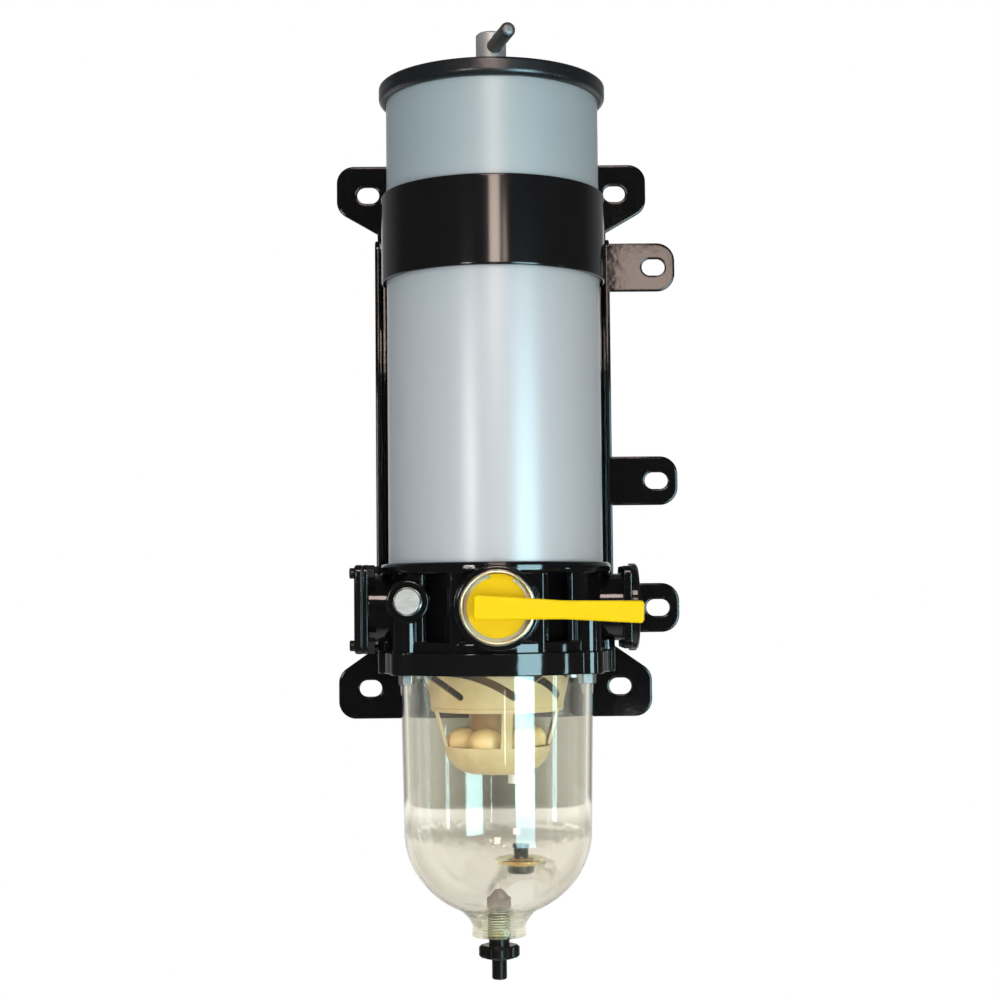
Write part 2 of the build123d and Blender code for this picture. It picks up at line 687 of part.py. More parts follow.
def inlet_cover():
    """The blanking plate on the left port, with a raised middle."""
    face = INLET_FACE + COVER_GASKET
    plate = square_flange(-1, INLET_FLANGE, face + COVER_THICK, COVER_THICK)
    outer = plate.faces().sort_by(Axis.X)[0]
    plate = chamfer(outer.edges(), 1.0)
    for y, z in port_screw_places(INLET_FLANGE / 2 - FLANGE_LUG_R):
        plate -= Pos(0, y, z) * along_x(0, INLET_SCREW_R + SLIP, -face - COVER_THICK, -face, AXIS_Y)
    return plate


def inlet_gasket():
    face = INLET_FACE + COVER_GASKET
    plate = square_flange(-1, INLET_FLANGE - 1, face, COVER_GASKET)
    plate -= along_x(PORT_Z, PORT_BORE_R, -face, -INLET_FACE)
    for y, z in port_screw_places(INLET_FLANGE / 2 - FLANGE_LUG_R):
        plate -= Pos(0, y, z) * along_x(0, INLET_SCREW_R + SLIP, -face, -INLET_FACE, AXIS_Y)
    return plate


def inlet_screws():
    """Four socket-head screws through cover, gasket and flange."""
    face = INLET_FACE + COVER_GASKET + COVER_THICK
    inner = INLET_FACE - INLET_FLANGE_THICK - NUT_THICK
    screws = []
    for y, z in port_screw_places(INLET_FLANGE / 2 - FLANGE_LUG_R):
        shank = along_x(0, INLET_SCREW_R, -face, -inner, AXIS_Y)
        head = along_x(0, INLET_HEAD_R, -face - INLET_HEAD_THICK, -face, AXIS_Y)
        rim = head.edges().filter_by(GeomType.CIRCLE).group_by(Axis.X)[0]
        head = fillet(rim, 0.7)
        socket = Pos(-face - INLET_HEAD_THICK, 0, 0) * Rot(0, 90, 0) * hexagon(INLET_HEAD_R, INLET_HEAD_THICK / 2)
        screws.append(Pos(0, y, z) * (shank + head - socket))
    return screws


def inlet_nuts():
    inner = INLET_FACE - INLET_FLANGE_THICK
    nuts = []
    for y, z in port_screw_places(INLET_FLANGE / 2 - FLANGE_LUG_R):
        nut = hexagon(NUT_FLATS, NUT_THICK) - extrude(Circle(INLET_SCREW_R + RUN), NUT_THICK)
        nuts.append(Pos(-inner, y, z) * Rot(0, 90, 0) * nut)
    return nuts


def outlet_flange():
    """The round port flange, with a spigot inside the neck and four countersunk screws."""
    outer = PORT_FACE + OUTLET_DISC_THICK
    plate = along_x(PORT_Z, OUTLET_DISC_R, PORT_FACE, outer)
    edges = plate.edges().filter_by(GeomType.CIRCLE).group_by(Axis.X)
    plate = chamfer(edges[-1], 1.2)
    spigot = along_x(PORT_Z, PORT_BORE_R, PORT_FACE - OUTLET_SPIGOT, PORT_FACE)
    body = plate + spigot
    body -= along_x(PORT_Z, OUTLET_BORE_R, PORT_FACE - OUTLET_SPIGOT, outer)
    groove = along_x(PORT_Z, OUTLET_SEAL_R + SEAL_SECTION, PORT_FACE, PORT_FACE + SEAL_SECTION)
    groove -= along_x(PORT_Z, OUTLET_SEAL_R, PORT_FACE, PORT_FACE + SEAL_SECTION)
    body -= groove
    for y, z in outlet_screw_places():
        body -= outlet_screw(y, z, SLIP)
    return body


def outlet_screw(y, z, play):
    """A countersunk screw along the port's line, flush with the flange's face."""
    outer = PORT_FACE + OUTLET_DISC_THICK
    shank = along_x(0, OUTLET_SCREW_R + play, outer - OUTLET_SCREW_DEPTH, outer, AXIS_Y)
    cone_height = OUTLET_SCREW_R
    cone = Pos(outer - cone_height / 2, 0, 0) * Rot(0, 90, 0) * Cone(
        OUTLET_SCREW_R + play, 2 * OUTLET_SCREW_R + play, cone_height)
    return Pos(0, y, z) * (shank + cone)


def outlet_screws():
    outer = PORT_FACE + OUTLET_DISC_THICK
    screws = []
    for y, z in outlet_screw_places():
        socket = Pos(outer - 1, y, z) * Rot(0, 90, 0) * hexagon(OUTLET_SCREW_R * 1.3, 1)
        screws.append(outlet_screw(y, z, 0) - socket)
    return screws


def outlet_seal():
    ring = along_x(PORT_Z, OUTLET_SEAL_R + SEAL_SECTION, PORT_FACE, PORT_FACE + SEAL_SECTION)
    return ring - along_x(PORT_Z, OUTLET_SEAL_R, PORT_FACE, PORT_FACE + SEAL_SECTION)


def valve_rotor():
    """The valve's turning plug: an angled passage joins the return tube to the outlet."""
    rotor = along_y(0, VALVE_Z, ROTOR_R, hub_back(), -ROTOR_BACK)
    rotor += Pos(0, AXIS_Y - hub_back() - TANG_DEPTH / 2, VALVE_Z) * Box(TANG, TANG_DEPTH, TANG)
    rotor -= disc(ROTOR_PASSAGE_R, VALVE_Z, VALVE_Z + ROTOR_R + 1)
    rotor -= along_x(VALVE_Z, ROTOR_PASSAGE_R, 0, ROTOR_R + 1)
    rotor -= Pos(0, AXIS_Y, VALVE_Z) * Sphere(ROTOR_PASSAGE_R)
    for out in rotor_seal_places():
        rotor -= rotor_groove(out)
    return rotor


def rotor_seal_places():
    return [hub_back() - 6, ROTOR_PASSAGE_R + 6]


def rotor_groove(out):
    ring = along_y(0, VALVE_Z, ROTOR_R, out, out - SEAL_SECTION)
    return ring - along_y(0, VALVE_Z, ROTOR_R - SEAL_SECTION, out, out - SEAL_SECTION)


def rotor_seals():
    return [rotor_groove(out) for out in rotor_seal_places()]


def valve_handle():
    """Yellow hub and lever, moulded in one, held in the boss by the circlip."""
    hub = along_y(0, VALVE_Z, HUB_R, hub_front(), hub_back())
    back = hub_front() - 0.5
    waist_x = LEVER_REACH * 0.45
    ends = LEVER_CORNER
    outline = FilletPolyline(
        (-LEVER_TAIL, -LEVER_ROOT_HEIGHT / 2), (waist_x, -LEVER_WAIST_HEIGHT / 2),
        (LEVER_REACH, -LEVER_END_HEIGHT / 2), (LEVER_REACH, LEVER_END_HEIGHT / 2),
        (waist_x, LEVER_WAIST_HEIGHT / 2), (-LEVER_TAIL, LEVER_ROOT_HEIGHT / 2),
        radius=[ends, LEVER_WAIST_R, ends, ends, LEVER_WAIST_R, ends], close=True)
    bar = extrude(Plane.XZ * make_face(outline), LEVER_THICK)
    bar = fillet(bar.faces().sort_by(Axis.Y)[0].edges(), LEVER_EDGE)
    root = RectangleRounded(2 * LEVER_TAIL - 1, LEVER_ROOT_HEIGHT - 1, ends)
    root = extrude(Plane.XZ * root, LEVER_OUT - back - LEVER_THICK / 2)
    lever = root + Pos(0, -(LEVER_OUT - back - LEVER_THICK), 0) * bar
    lever = Pos(0, AXIS_Y - back, VALVE_Z) * Rot(0, LEVER_DROOP, 0) * lever
    tang = TANG + 2 * SLIP
    hole = Pos(0, AXIS_Y - hub_back() - TANG_DEPTH / 2, VALVE_Z) * Box(tang, TANG_DEPTH + 2 * SLIP, tang)
    return hub + lever - hole


def valve_circlip():
    front = circlip_front()
    ring = along_y(0, VALVE_Z, CIRCLIP_OUT_R, front, front - CIRCLIP_THICK)
    ring -= along_y(0, VALVE_Z, CIRCLIP_IN_R, front, front - CIRCLIP_THICK)
    half = math.radians(CIRCLIP_GAP / 2)
    reach = 2 * CIRCLIP_OUT_R
    wedge = Polyline((0, 0), (reach * math.sin(half), reach * math.cos(half)),
                     (-reach * math.sin(half), reach * math.cos(half)), close=True)
    gap = extrude(Plane.XZ * make_face(wedge), CIRCLIP_THICK)
    gap = Pos(0, AXIS_Y - front + CIRCLIP_THICK, VALVE_Z) * Rot(0, CIRCLIP_TURN, 0) * gap
    return ring - gap


def can():
    """A drawn tube with its upper edge rolled out under the lid."""
    inner = CAN_R - CAN_WALL
    return tube(CAN_R, inner, CAN_BOTTOM, CAN_TOP)


def flat_ring(low, thick):
    return tube(CAN_R, CAN_R - CAN_WALL - 2, low, low + thick)


def lid():
    inner = CAN_R + SLIP
    lid_shell = disc(LID_R, LID_SKIRT_BOTTOM, LID_TOP)
    lower, upper = lid_shell.edges().filter_by(GeomType.CIRCLE).group_by(Axis.Z)
    lid_shell = fillet(upper, 1.4)
    lower = lid_shell.edges().filter_by(GeomType.CIRCLE).group_by(Axis.Z)[0]
    lid_shell = fillet(lower, LID_EDGE_R)
    lid_shell -= disc(inner, LID_SKIRT_BOTTOM, LID_UNDER)
    boss = disc(LID_BOSS_R, LID_TOP - 1, BOSS_TOP)
    top = boss.edges().filter_by(GeomType.CIRCLE).group_by(Axis.Z)[-1]
    lid_shell += fillet(top, 1.0)
    return lid_shell - disc(STEM_R + SCREW_PLAY, LID_UNDER, BOSS_TOP)


def handle_washer():
    return tube(WASHER_R, STEM_R + RUN, BOSS_TOP, BOSS_TOP + WASHER_THICK)


def handle_bottom():
    return BOSS_TOP + WASHER_THICK


def pin_solid(radius):
    bar = Rot(0, 0, PIN_TURN) * Rot(90, 0, 0) * Cylinder(radius, 2 * PIN_HALF)
    return Pos(0, AXIS_Y, PIN_Z) * bar


def t_handle():
    """The steel stub with its threaded stem, cross-bored for the pin."""
    stub = disc(HANDLE_R, handle_bottom(), HANDLE_TOP)
    top = stub.edges().filter_by(GeomType.CIRCLE).group_by(Axis.Z)[-1]
    stub = chamfer(top, 1.0)
    stem = disc(STEM_R, TUBE_TOP - STEM_REACH, handle_bottom())
    return stub + stem - pin_solid(PIN_R + SLIP / 4)


def t_handle_pin():
    bar = pin_solid(PIN_R)
    return fillet(bar.edges().filter_by(GeomType.CIRCLE), PIN_END)


def return_tube():
    """The tube that carries clean fuel down to the valve and takes the T-handle's thread."""
    outside = disc(TUBE_R, SOCKET_FLOOR - TUBE_SEAT, TUBE_TOP)
    outside -= disc(TUBE_R - TUBE_WALL, SOCKET_FLOOR - TUBE_SEAT, TUBE_TOP - TUBE_NUT)
    outside -= disc(STEM_R + RUN, TUBE_TOP - TUBE_NUT, TUBE_TOP)
    for turn in range(3):
        hole = Rot(0, 90, 60 * turn) * Cylinder(TUBE_HOLE_R, 2 * TUBE_R + 2)
        outside -= Pos(0, AXIS_Y, media_low() + TUBE_HOLE_RISE) * hole
    return outside


def media_low():
    return SOCKET_FLOOR + CARTRIDGE_FOOT + CARTRIDGE_CAP


def media_high():
    return CAN_TOP - CARTRIDGE_TOP_SPACE - CARTRIDGE_CAP


def cartridge_media():
    """Pleated paper, drawn as one folded ring."""
    points = []
    for fold in range(MEDIA_FOLDS):
        for part, radius in ((0, MEDIA_R), (0.5, MEDIA_R - MEDIA_FOLD)):
            angle = 2 * math.pi * (fold + part) / MEDIA_FOLDS
            points.append((radius * math.cos(angle), radius * math.sin(angle)))
    star = make_face(Polyline(*points, close=True)) - Circle(CORE_TUBE_R)
    return Pos(0, AXIS_Y, media_low()) * extrude(star, media_high() - media_low())


def cartridge_core():
    """The perforated tube inside the paper."""
    inner = CORE_TUBE_R - CORE_TUBE_WALL
    core = tube(CORE_TUBE_R, inner, media_low(), media_high())
    rows = 6
    step = (media_high() - media_low()) / rows
    for row in range(rows):
        for turn in range(3):
            hole = Rot(0, 90, 60 * turn + 30 * (row % 2)) * Cylinder(CORE_HOLE_R, 2 * CORE_TUBE_R + 2)
            core -= Pos(0, AXIS_Y, media_low() + (row + 0.5) * step) * hole
    return core


def cartridge_cap(low, high, rim_up):
    """A moulded end cap with a short rim towards the paper."""
    cap = disc(CARTRIDGE_R, low, high)
    rim_low, rim_high = (high, high + 4) if rim_up else (low - 4, low)
    cap += tube(CARTRIDGE_R, MEDIA_R + SLIP, rim_low, rim_high)
    return cap - disc(GROMMET_R - 2, low, high)


def cartridge_bottom_cap():
    low = SOCKET_FLOOR + CARTRIDGE_FOOT
    cap = cartridge_cap(low, media_low(), True)
    return cap + tube(GROMMET_R + 2, GROMMET_R + RUN, SOCKET_FLOOR, low)


def cartridge_top_cap():
    """The upper cap, with two pairs of ears for the wire bails."""
    high = media_high() + CARTRIDGE_CAP
    cap = cartridge_cap(media_high(), high, False)
    for x in (-BAIL_X, BAIL_X):
        for sy in (-1, 1):
            y = AXIS_Y + sy * BAIL_HALF
            cap += block(x - BAIL_EAR_HALF, x + BAIL_EAR_HALF, y - BAIL_EAR_THICK / 2, y + BAIL_EAR_THICK / 2,
                         high - CARTRIDGE_CAP / 4, high + 2 * BAIL_EAR_HALF)
            hole = Rot(90, 0, 0) * Cylinder(BAIL_WIRE_R + SLIP, BAIL_EAR_THICK + 1)
            cap -= Pos(x, y, high + BAIL_EAR_HALF) * hole
    return cap


def grommet(low, high):
    outer = tube(GROMMET_R, TUBE_R + SLIP, low, high)
    return outer


def cartridge_grommets():
    """Rubber seals between the cartridge and the return tube."""
    low = SOCKET_FLOOR + CARTRIDGE_FOOT
    lower = grommet(low - 5, low)
    high = media_high() + CARTRIDGE_CAP
    upper = grommet(high, high + 3)
    upper += tube(GROMMET_R - 2, TUBE_R + SLIP, media_high() - 2, high)
    return [lower, upper]


def cartridge_bails():
    """Two wire handles, one at each side, with their ends turned into the cap's ears."""
    base = media_high() + CARTRIDGE_CAP + BAIL_EAR_HALF
    bails = []
    for x in (-BAIL_X, BAIL_X):
        end = BAIL_HALF + BAIL_END
        side = BAIL_HALF - BAIL_END - 1
        points = [(x, -end, base), (x, -side, base), (x, -side, base + BAIL_HEIGHT),
                  (x, side, base + BAIL_HEIGHT), (x, side, base), (x, end, base)]
        path = FilletPolyline(*points, radius=2.5)
        start = Plane(origin=points[0], z_dir=(0, 1, 0))
        wire = sweep(start * Circle(BAIL_WIRE_R), path=path)
        bails.append(Pos(0, AXIS_Y, 0) * wire)
    return bails


def round_bottom(piece):
    return fillet(piece.faces().sort_by(Axis.Z)[0].edges(), CAST_ROUND / 2)


def bowl_ring():
    """The ring that pulls the bowl up against the head, with four bolt lugs and two side lugs."""
    ring = round_bottom(disc(RING_R, RING_BOTTOM, JOINT_Z))
    for x, out in post_places():
        ring += round_bottom(upright(x, out, RING_LUG_R, RING_BOTTOM, JOINT_Z))
    ring += round_bottom(side_lugs(RING_BOTTOM, JOINT_Z))
    ring -= disc(BOWL_FLANGE_R + SLIP, BOWL_REST, JOINT_Z)
    ring -= disc(RING_LIP_R, RING_BOTTOM, BOWL_REST)
    for x, out in post_places():
        ring -= upright(x, out, RING_BOLT_R + SLIP, RING_BOTTOM, JOINT_Z)
    return ring


def ring_bolts():
    bolts = []
    for x, out in post_places():
        shank = upright(x, out, RING_BOLT_R, RING_BOTTOM, JOINT_Z + RING_BOLT_DEPTH)
        head = Pos(x, AXIS_Y - out, RING_BOTTOM - RING_BOLT_HEAD) * hexagon(RING_BOLT_FLATS, RING_BOLT_HEAD)
        limit = Pos(x, AXIS_Y - out, RING_BOTTOM - RING_BOLT_HEAD / 2) * Cylinder(
            RING_BOLT_FLATS * 0.56, RING_BOLT_HEAD)
        low_edge = limit.edges().filter_by(GeomType.CIRCLE).group_by(Axis.Z)[0]
        bolts.append(shank + (head & chamfer(low_edge, 0.6)))
    return bolts


def bowl_gasket():
    return tube(BOWL_FLANGE_R, BOWL_TOP_R - BOWL_WALL, BOWL_TOP, JOINT_Z)


def dome_height(radius, dome_r, depth):
    """Height of the bowl's half-round bottom at a radius."""
    return BOWL_DOME_Z - depth * math.sqrt(1 - (radius / dome_r) ** 2)


def bowl_outside():
    blend_z = dome_height(NECK_BLEND_TOP_R, DOME_R, BOWL_DOME_DEPTH)
    neck_z = blend_z - NECK_BLEND_DEPTH
    middle = (NECK_R + 0.3 * (NECK_BLEND_TOP_R - NECK_R), blend_z - 0.52 * NECK_BLEND_DEPTH)
    sides = Polyline((0, NECK_BOTTOM), (0, BOWL_TOP), (BOWL_FLANGE_R, BOWL_TOP), (BOWL_FLANGE_R, BOWL_REST),
                     (BOWL_TOP_R, BOWL_REST), (BOWL_TOP_R, RING_BOTTOM), (DOME_R, BOWL_DOME_Z))
    end_angle = math.degrees(math.acos(NECK_BLEND_TOP_R / DOME_R))
    dome = EllipticalCenterArc((0, BOWL_DOME_Z), DOME_R, BOWL_DOME_DEPTH, -end_angle, arc_size=end_angle)
    blend = ThreePointArc((NECK_BLEND_TOP_R, blend_z), middle, (NECK_R, neck_z))
    neck = Polyline((NECK_R, neck_z), (NECK_R, NECK_BOTTOM), (0, NECK_BOTTOM))
    return turned(sides.edges() + dome.edges() + blend.edges() + neck.edges())


def bowl_inside():
    inner_r = DOME_R - BOWL_WALL
    depth = BOWL_DOME_DEPTH - BOWL_WALL
    seat_z = SEAT_Z
    start_angle = math.degrees(math.acos(SEAT_R / inner_r))
    corner_z = dome_height(SEAT_R, inner_r, depth)
    walls = Polyline((SEAT_R, corner_z), (SEAT_R, seat_z), (0, seat_z), (0, BOWL_TOP),
                     (BOWL_TOP_R - BOWL_WALL, BOWL_TOP), (BOWL_TOP_R - BOWL_WALL, RING_BOTTOM),
                     (inner_r, BOWL_DOME_Z))
    dome = EllipticalCenterArc((0, BOWL_DOME_Z), inner_r, depth, -start_angle, arc_size=start_angle)
    return turned(walls.edges() + dome.edges())


def clear_bowl():
    shell = bowl_outside() - bowl_inside()
    outside = bowl_outside()
    rise = upright(PROBE_X, -PROBE_BACK, POCKET_R, NECK_BOTTOM, SHELF_Z)
    rise = fillet(rise.edges().filter_by(GeomType.CIRCLE).group_by(Axis.Z)[-1], 1.2)
    shell += rise & outside
    shell -= upright(PROBE_X, -PROBE_BACK, POCKET_R - POCKET_WALL, NECK_BOTTOM, SHELF_Z - POCKET_WALL)
    shell -= upright(PROBE_X, -PROBE_BACK, PROBE_THREAD_R + RUN, SHELF_Z - POCKET_WALL - 1, SHELF_Z)
    return shell - disc(DRAIN_THREAD_R, NECK_BOTTOM, SEAT_Z)


def probe_height(below=0.0):
    return SHELF_Z - POCKET_WALL - below


def water_probe():
    """The steel probe: a round head below the shelf and a thread up through it."""
    top = probe_height(PROBE_SEAL)
    head = upright(PROBE_X, -PROBE_BACK, PROBE_HEAD_R, top - PROBE_HEAD_THICK, top)
    head = fillet(head.edges().filter_by(GeomType.CIRCLE).group_by(Axis.Z)[0], 1.2)
    return head + upright(PROBE_X, -PROBE_BACK, PROBE_THREAD_R, top, SHELF_Z + PROBE_RISE)


def probe_seal():
    low = probe_height(PROBE_SEAL)
    ring = upright(PROBE_X, -PROBE_BACK, PROBE_HEAD_R - 0.8, low, low + PROBE_SEAL)
    return ring - upright(PROBE_X, -PROBE_BACK, PROBE_THREAD_R + RUN, low, low + PROBE_SEAL)


def probe_tip():
    low = SHELF_Z + PROBE_RISE
    return upright(PROBE_X, -PROBE_BACK, PROBE_TIP_R, low, low + PROBE_TIP_THICK)


def drain_seal():
    """The soft cone that closes the bowl's drain from inside."""
    low = SEAT_Z + SLIP
    side = low + DRAIN_SEAL_SIDE
    tip = low + DRAIN_SEAL_HEIGHT
    cone = turned_points((0, low), (DRAIN_SEAL_R, low), (DRAIN_SEAL_R, side), (DRAIN_SEAL_R - 1.2, side + 0.4),
                         (DRAIN_SEAL_TIP_R + 0.9, tip - 1.6), (DRAIN_SEAL_TIP_R, tip - 0.3), (0, tip))
    return cone - disc(DRAIN_PIN_R + SLIP / 2, low, low + DRAIN_PIN_LENGTH + SLIP)


def drain_stem():
    """Knob, threaded stem and hose nipple, moulded in one, with a bore up to the seal."""
    low = SEAT_Z + SLIP
    stem = disc(DRAIN_THREAD_R - RUN, KNOB_TOP, low) + disc(DRAIN_PIN_R, low, low + DRAIN_PIN_LENGTH)
    knob = disc(KNOB_R - KNOB_LOBE_R / 2, KNOB_TOP - KNOB_THICK, KNOB_TOP)
    lobe_radius = KNOB_R - KNOB_LOBE_R
    for turn in range(4):
        angle = math.radians(90 * turn)
        lobe = upright(lobe_radius * math.cos(angle), lobe_radius * math.sin(angle), KNOB_LOBE_R,
                       KNOB_TOP - KNOB_THICK, KNOB_TOP)
        knob += chamfer(lobe.edges().filter_by(GeomType.CIRCLE), KNOB_BEVEL)
    bottom = KNOB_TOP - KNOB_THICK
    nipple = disc(NIPPLE_R, bottom - NIPPLE_LENGTH, bottom)
    end = nipple.edges().filter_by(GeomType.CIRCLE).group_by(Axis.Z)[0]
    nipple = chamfer(end, 0.6)
    return stem + knob + nipple - disc(NIPPLE_BORE_R, bottom - NIPPLE_LENGTH, low - 2)


def cone_radius(z):
    """Outer radius of the turbine's cone at a height."""
    top = JOINT_Z
    share = (top - z) / (top - TURBINE_LIP_Z)
    return TURBINE_TOP_R + share * (TURBINE_LIP_R - TURBINE_TOP_R)


def turbine():
    """The swirl cone: a plate under the head and a thin cone with slanted slots."""
    top = JOINT_Z
    plate = top - TURBINE_PLATE
    cone = turned_points((TURBINE_TOP_R, top), (cone_radius(TURBINE_LIP_Z + 1.5), TURBINE_LIP_Z + 1.5),
                         (TURBINE_LIP_R + 0.8, TURBINE_LIP_Z + 1.2), (TURBINE_LIP_R + 0.8, TURBINE_LIP_Z),
                         (TURBINE_LIP_R - MOULD_WALL, TURBINE_LIP_Z), (cone_radius(plate) - MOULD_WALL, plate),
                         (0, plate), (0, top))
    cone -= disc(INNER_TUBE_R + RUN, plate, top)
    for turn in range(SWIRL_SLOTS):
        cone -= swirl_slot(SWIRL_SLOT_PHASE + turn * 360 / SWIRL_SLOTS)
    diagonal = FUEL_HOLE_RADIUS / math.sqrt(2)
    for sx in (-1, 1):
        for sy in (-1, 1):
            cone -= upright(sx * diagonal, sy * diagonal, FUEL_HOLE_R - 2, plate, top)
    for x, y in turbine_screw_places():
        cone -= Pos(x, y, top - TURBINE_PLATE / 2) * Cylinder(TURBINE_SCREW_R + SLIP, TURBINE_PLATE)
    return cone


def swirl_slot(turn):
    """A curved, slanted cutter through the cone's wall, at an angle round the axis from the front."""
    line = ThreePointArc(SWIRL_SLOT_START, SWIRL_SLOT_MIDDLE, SWIRL_SLOT_END)
    cutter = extrude(Plane.XZ * SlotArc(line, SWIRL_SLOT_WIDTH), SWIRL_SLOT_DEPTH / 2, both=True)
    radius = cone_radius(SWIRL_SLOT_Z) - 2 * MOULD_WALL
    return Pos(0, AXIS_Y, SWIRL_SLOT_Z) * Rot(0, 0, turn) * Pos(0, -radius, 0) * cutter


def turbine_cage():
    """Ring, four struts and a cup, moulded in one, clipped inside the cone's lip."""
    ring_r = TURBINE_LIP_R - MOULD_WALL - SLIP
    low = TURBINE_LIP_Z - 1.0
    cage = tube(ring_r, ring_r - MOULD_WALL, low, TURBINE_LIP_Z + 3)
    cage += tube(TURBINE_LIP_R, ring_r - MOULD_WALL, low, TURBINE_LIP_Z)
    wall = MOULD_WALL
    cone = turned_points((TURBINE_LIP_R - 1.5, low), (CUP_R, CUP_TOP_Z), (CUP_R - wall, CUP_TOP_Z),
                         (TURBINE_LIP_R - 1.5 - wall, low))
    for turn in range(STRUTS):
        bar = block(-STRUT_WIDTH / 2, STRUT_WIDTH / 2, -TURBINE_LIP_R - 2, 0, CUP_TOP_Z, TURBINE_LIP_Z)
        bar = Pos(0, AXIS_Y, 0) * Rot(0, 0, STRUT_PHASE + 90 * turn) * bar
        cage += cone & bar
    return cage + cup()


def cup():
    """The round cup below the struts."""
    wall = MOULD_WALL
    outer_mid = (CUP_R - 2.8, (CUP_TOP_Z + CUP_BOTTOM_Z) / 2)
    inner_mid = (outer_mid[0] - wall, outer_mid[1] + wall * 0.4)
    outer = ThreePointArc((CUP_R, CUP_TOP_Z), outer_mid, (CUP_FLOOR_R, CUP_BOTTOM_Z))
    inner = ThreePointArc((CUP_R - wall, CUP_TOP_Z), inner_mid, (CUP_FLOOR_R - wall, CUP_BOTTOM_Z + wall))
    floor = Polyline((CUP_FLOOR_R, CUP_BOTTOM_Z), (0, CUP_BOTTOM_Z), (0, CUP_BOTTOM_Z + wall),
                     (CUP_FLOOR_R - wall, CUP_BOTTOM_Z + wall))
    rim = Line((CUP_R, CUP_TOP_Z), (CUP_R - wall, CUP_TOP_Z))
    bowl = turned(outer.edges() + inner.edges() + floor.edges() + rim.edges())
    return bowl - upright(CUP_PLUG_X, 0, CUP_PLUG_R + RUN, CUP_BOTTOM_Z, CUP_BOTTOM_Z + wall)


def cup_plug():
    """A short white stub in the cup's floor."""
    body = upright(CUP_PLUG_X, 0, CUP_PLUG_R, CUP_BOTTOM_Z - CUP_PLUG_LENGTH, CUP_BOTTOM_Z + MOULD_WALL)
    return body + upright(CUP_PLUG_X, 0, CUP_PLUG_R + 1.6, CUP_BOTTOM_Z - CUP_PLUG_LENGTH, CUP_BOTTOM_Z)


def turbine_diffuser():
    """The inner tube with its lobed skirt, and the seat of the check ball."""
    low = LOBE_BOTTOM_Z
    body = disc(INNER_TUBE_R, low, JOINT_Z)
    height = LOBE_TOP_Z - low
    lobe_radius = LOBE_REACH - LOBE_R
    for turn in range(LOBES):
        angle = math.radians(LOBE_PHASE + turn * 360 / LOBES)
        lobe = upright(lobe_radius * math.sin(angle), lobe_radius * math.cos(angle), LOBE_R, low, LOBE_TOP_Z)
        top = lobe.edges().filter_by(GeomType.CIRCLE).group_by(Axis.Z)[-1]
        body += fillet(top, min(LOBE_R, height) * 0.8)
    inner = INNER_TUBE_R - MOULD_WALL
    body -= disc(inner, BALL_SEAT_Z, JOINT_Z)
    body -= disc(inner, low, BALL_SEAT_Z - MOULD_WALL)
    return body - disc(BALL_SEAT_R, low, JOINT_Z)


def check_ball():
    rise = math.sqrt(CHECK_BALL_R ** 2 - BALL_SEAT_R ** 2) + RUN
    return Pos(0, AXIS_Y, BALL_SEAT_Z + rise) * Sphere(CHECK_BALL_R)


def turbine_screws():
    screws = []
    for x, y in turbine_screw_places():
        under = JOINT_Z - TURBINE_PLATE
        length = TURBINE_PLATE + TURBINE_SCREW_DEPTH
        shank = Pos(x, y, under + length / 2) * Cylinder(TURBINE_SCREW_R, length)
        head = Pos(x, y, under - TURBINE_SCREW_HEAD / 2) * Cylinder(TURBINE_SCREW_HEAD_R, TURBINE_SCREW_HEAD)
        screws.append(shank + head)
    return screws


def write(name, made):
    """Writes one node, of one solid or of a group of separate solids."""
    solids = []
    for piece in made if isinstance(made, list) else [made]:
        solids += piece.solids()
    shape = solids[0] if len(solids) == 1 else Compound(children=solids)
    export_step(shape, os.path.join("parts", name + ".step"))


PIECES = {
    "mounting_bracket": mounting_bracket,
    "clamp_band": clamp_band,
    "clamp_screws": clamp_screws,
    "head_screws": head_screws,
    "head_casting": head_casting,
    "side_plug": side_plug,
    "side_plug_washer": side_plug_washer,
    "inlet_cover": inlet_cover,
    "inlet_gasket": inlet_gasket,
    "inlet_screws": inlet_screws,
    "inlet_nuts": inlet_nuts,
    "outlet_flange": outlet_flange,
    "outlet_seal": outlet_seal,
    "outlet_screws": outlet_screws,
    "valve_rotor": valve_rotor,
    "rotor_seals": rotor_seals,
    "valve_handle": valve_handle,
    "valve_circlip": valve_circlip,
    "can": can,
    "can_gasket": lambda: flat_ring(SOCKET_FLOOR, GASKET_THICK),
    "lid_gasket": lambda: flat_ring(CAN_TOP, GASKET_THICK),
    "lid": lid,
    "handle_washer": handle_washer,
    "t_handle": t_handle,
    "t_handle_pin": t_handle_pin,
    "return_tube": return_tube,
    "cartridge_media": cartridge_media,
    "cartridge_core": cartridge_core,
    "cartridge_bottom_cap": cartridge_bottom_cap,
    "cartridge_top_cap": cartridge_top_cap,
    "cartridge_grommets": cartridge_grommets,
    "cartridge_bails": cartridge_bails,
    "bowl_ring": bowl_ring,
    "ring_bolts": ring_bolts,
    "bowl_gasket": bowl_gasket,
    "clear_bowl": clear_bowl,
    "water_probe": water_probe,
    "probe_seal": probe_seal,
    "probe_tip": probe_tip,
    "drain_seal": drain_seal,
    "drain_stem": drain_stem,
    "turbine": turbine,
    "turbine_cage": turbine_cage,
    "cup_plug": cup_plug,
    "turbine_diffuser": turbine_diffuser,
    "check_ball": check_ball,
    "turbine_screws": turbine_screws,
}

os.makedirs("parts", exist_ok=True)
for piece_name, make in PIECES.items():
    write(piece_name, make())
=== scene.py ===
# %% [markdown]
# # A fuel filter and water separator, dressed round its CAD model
# What is left for Blender is the camera, the light, the finishes and the small turned details that
# CAD left plain, such as screw threads. This file is read from top to bottom like a notebook: each
# step says what the real piece is, how it could be made and why it is made this way.

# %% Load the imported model
import math

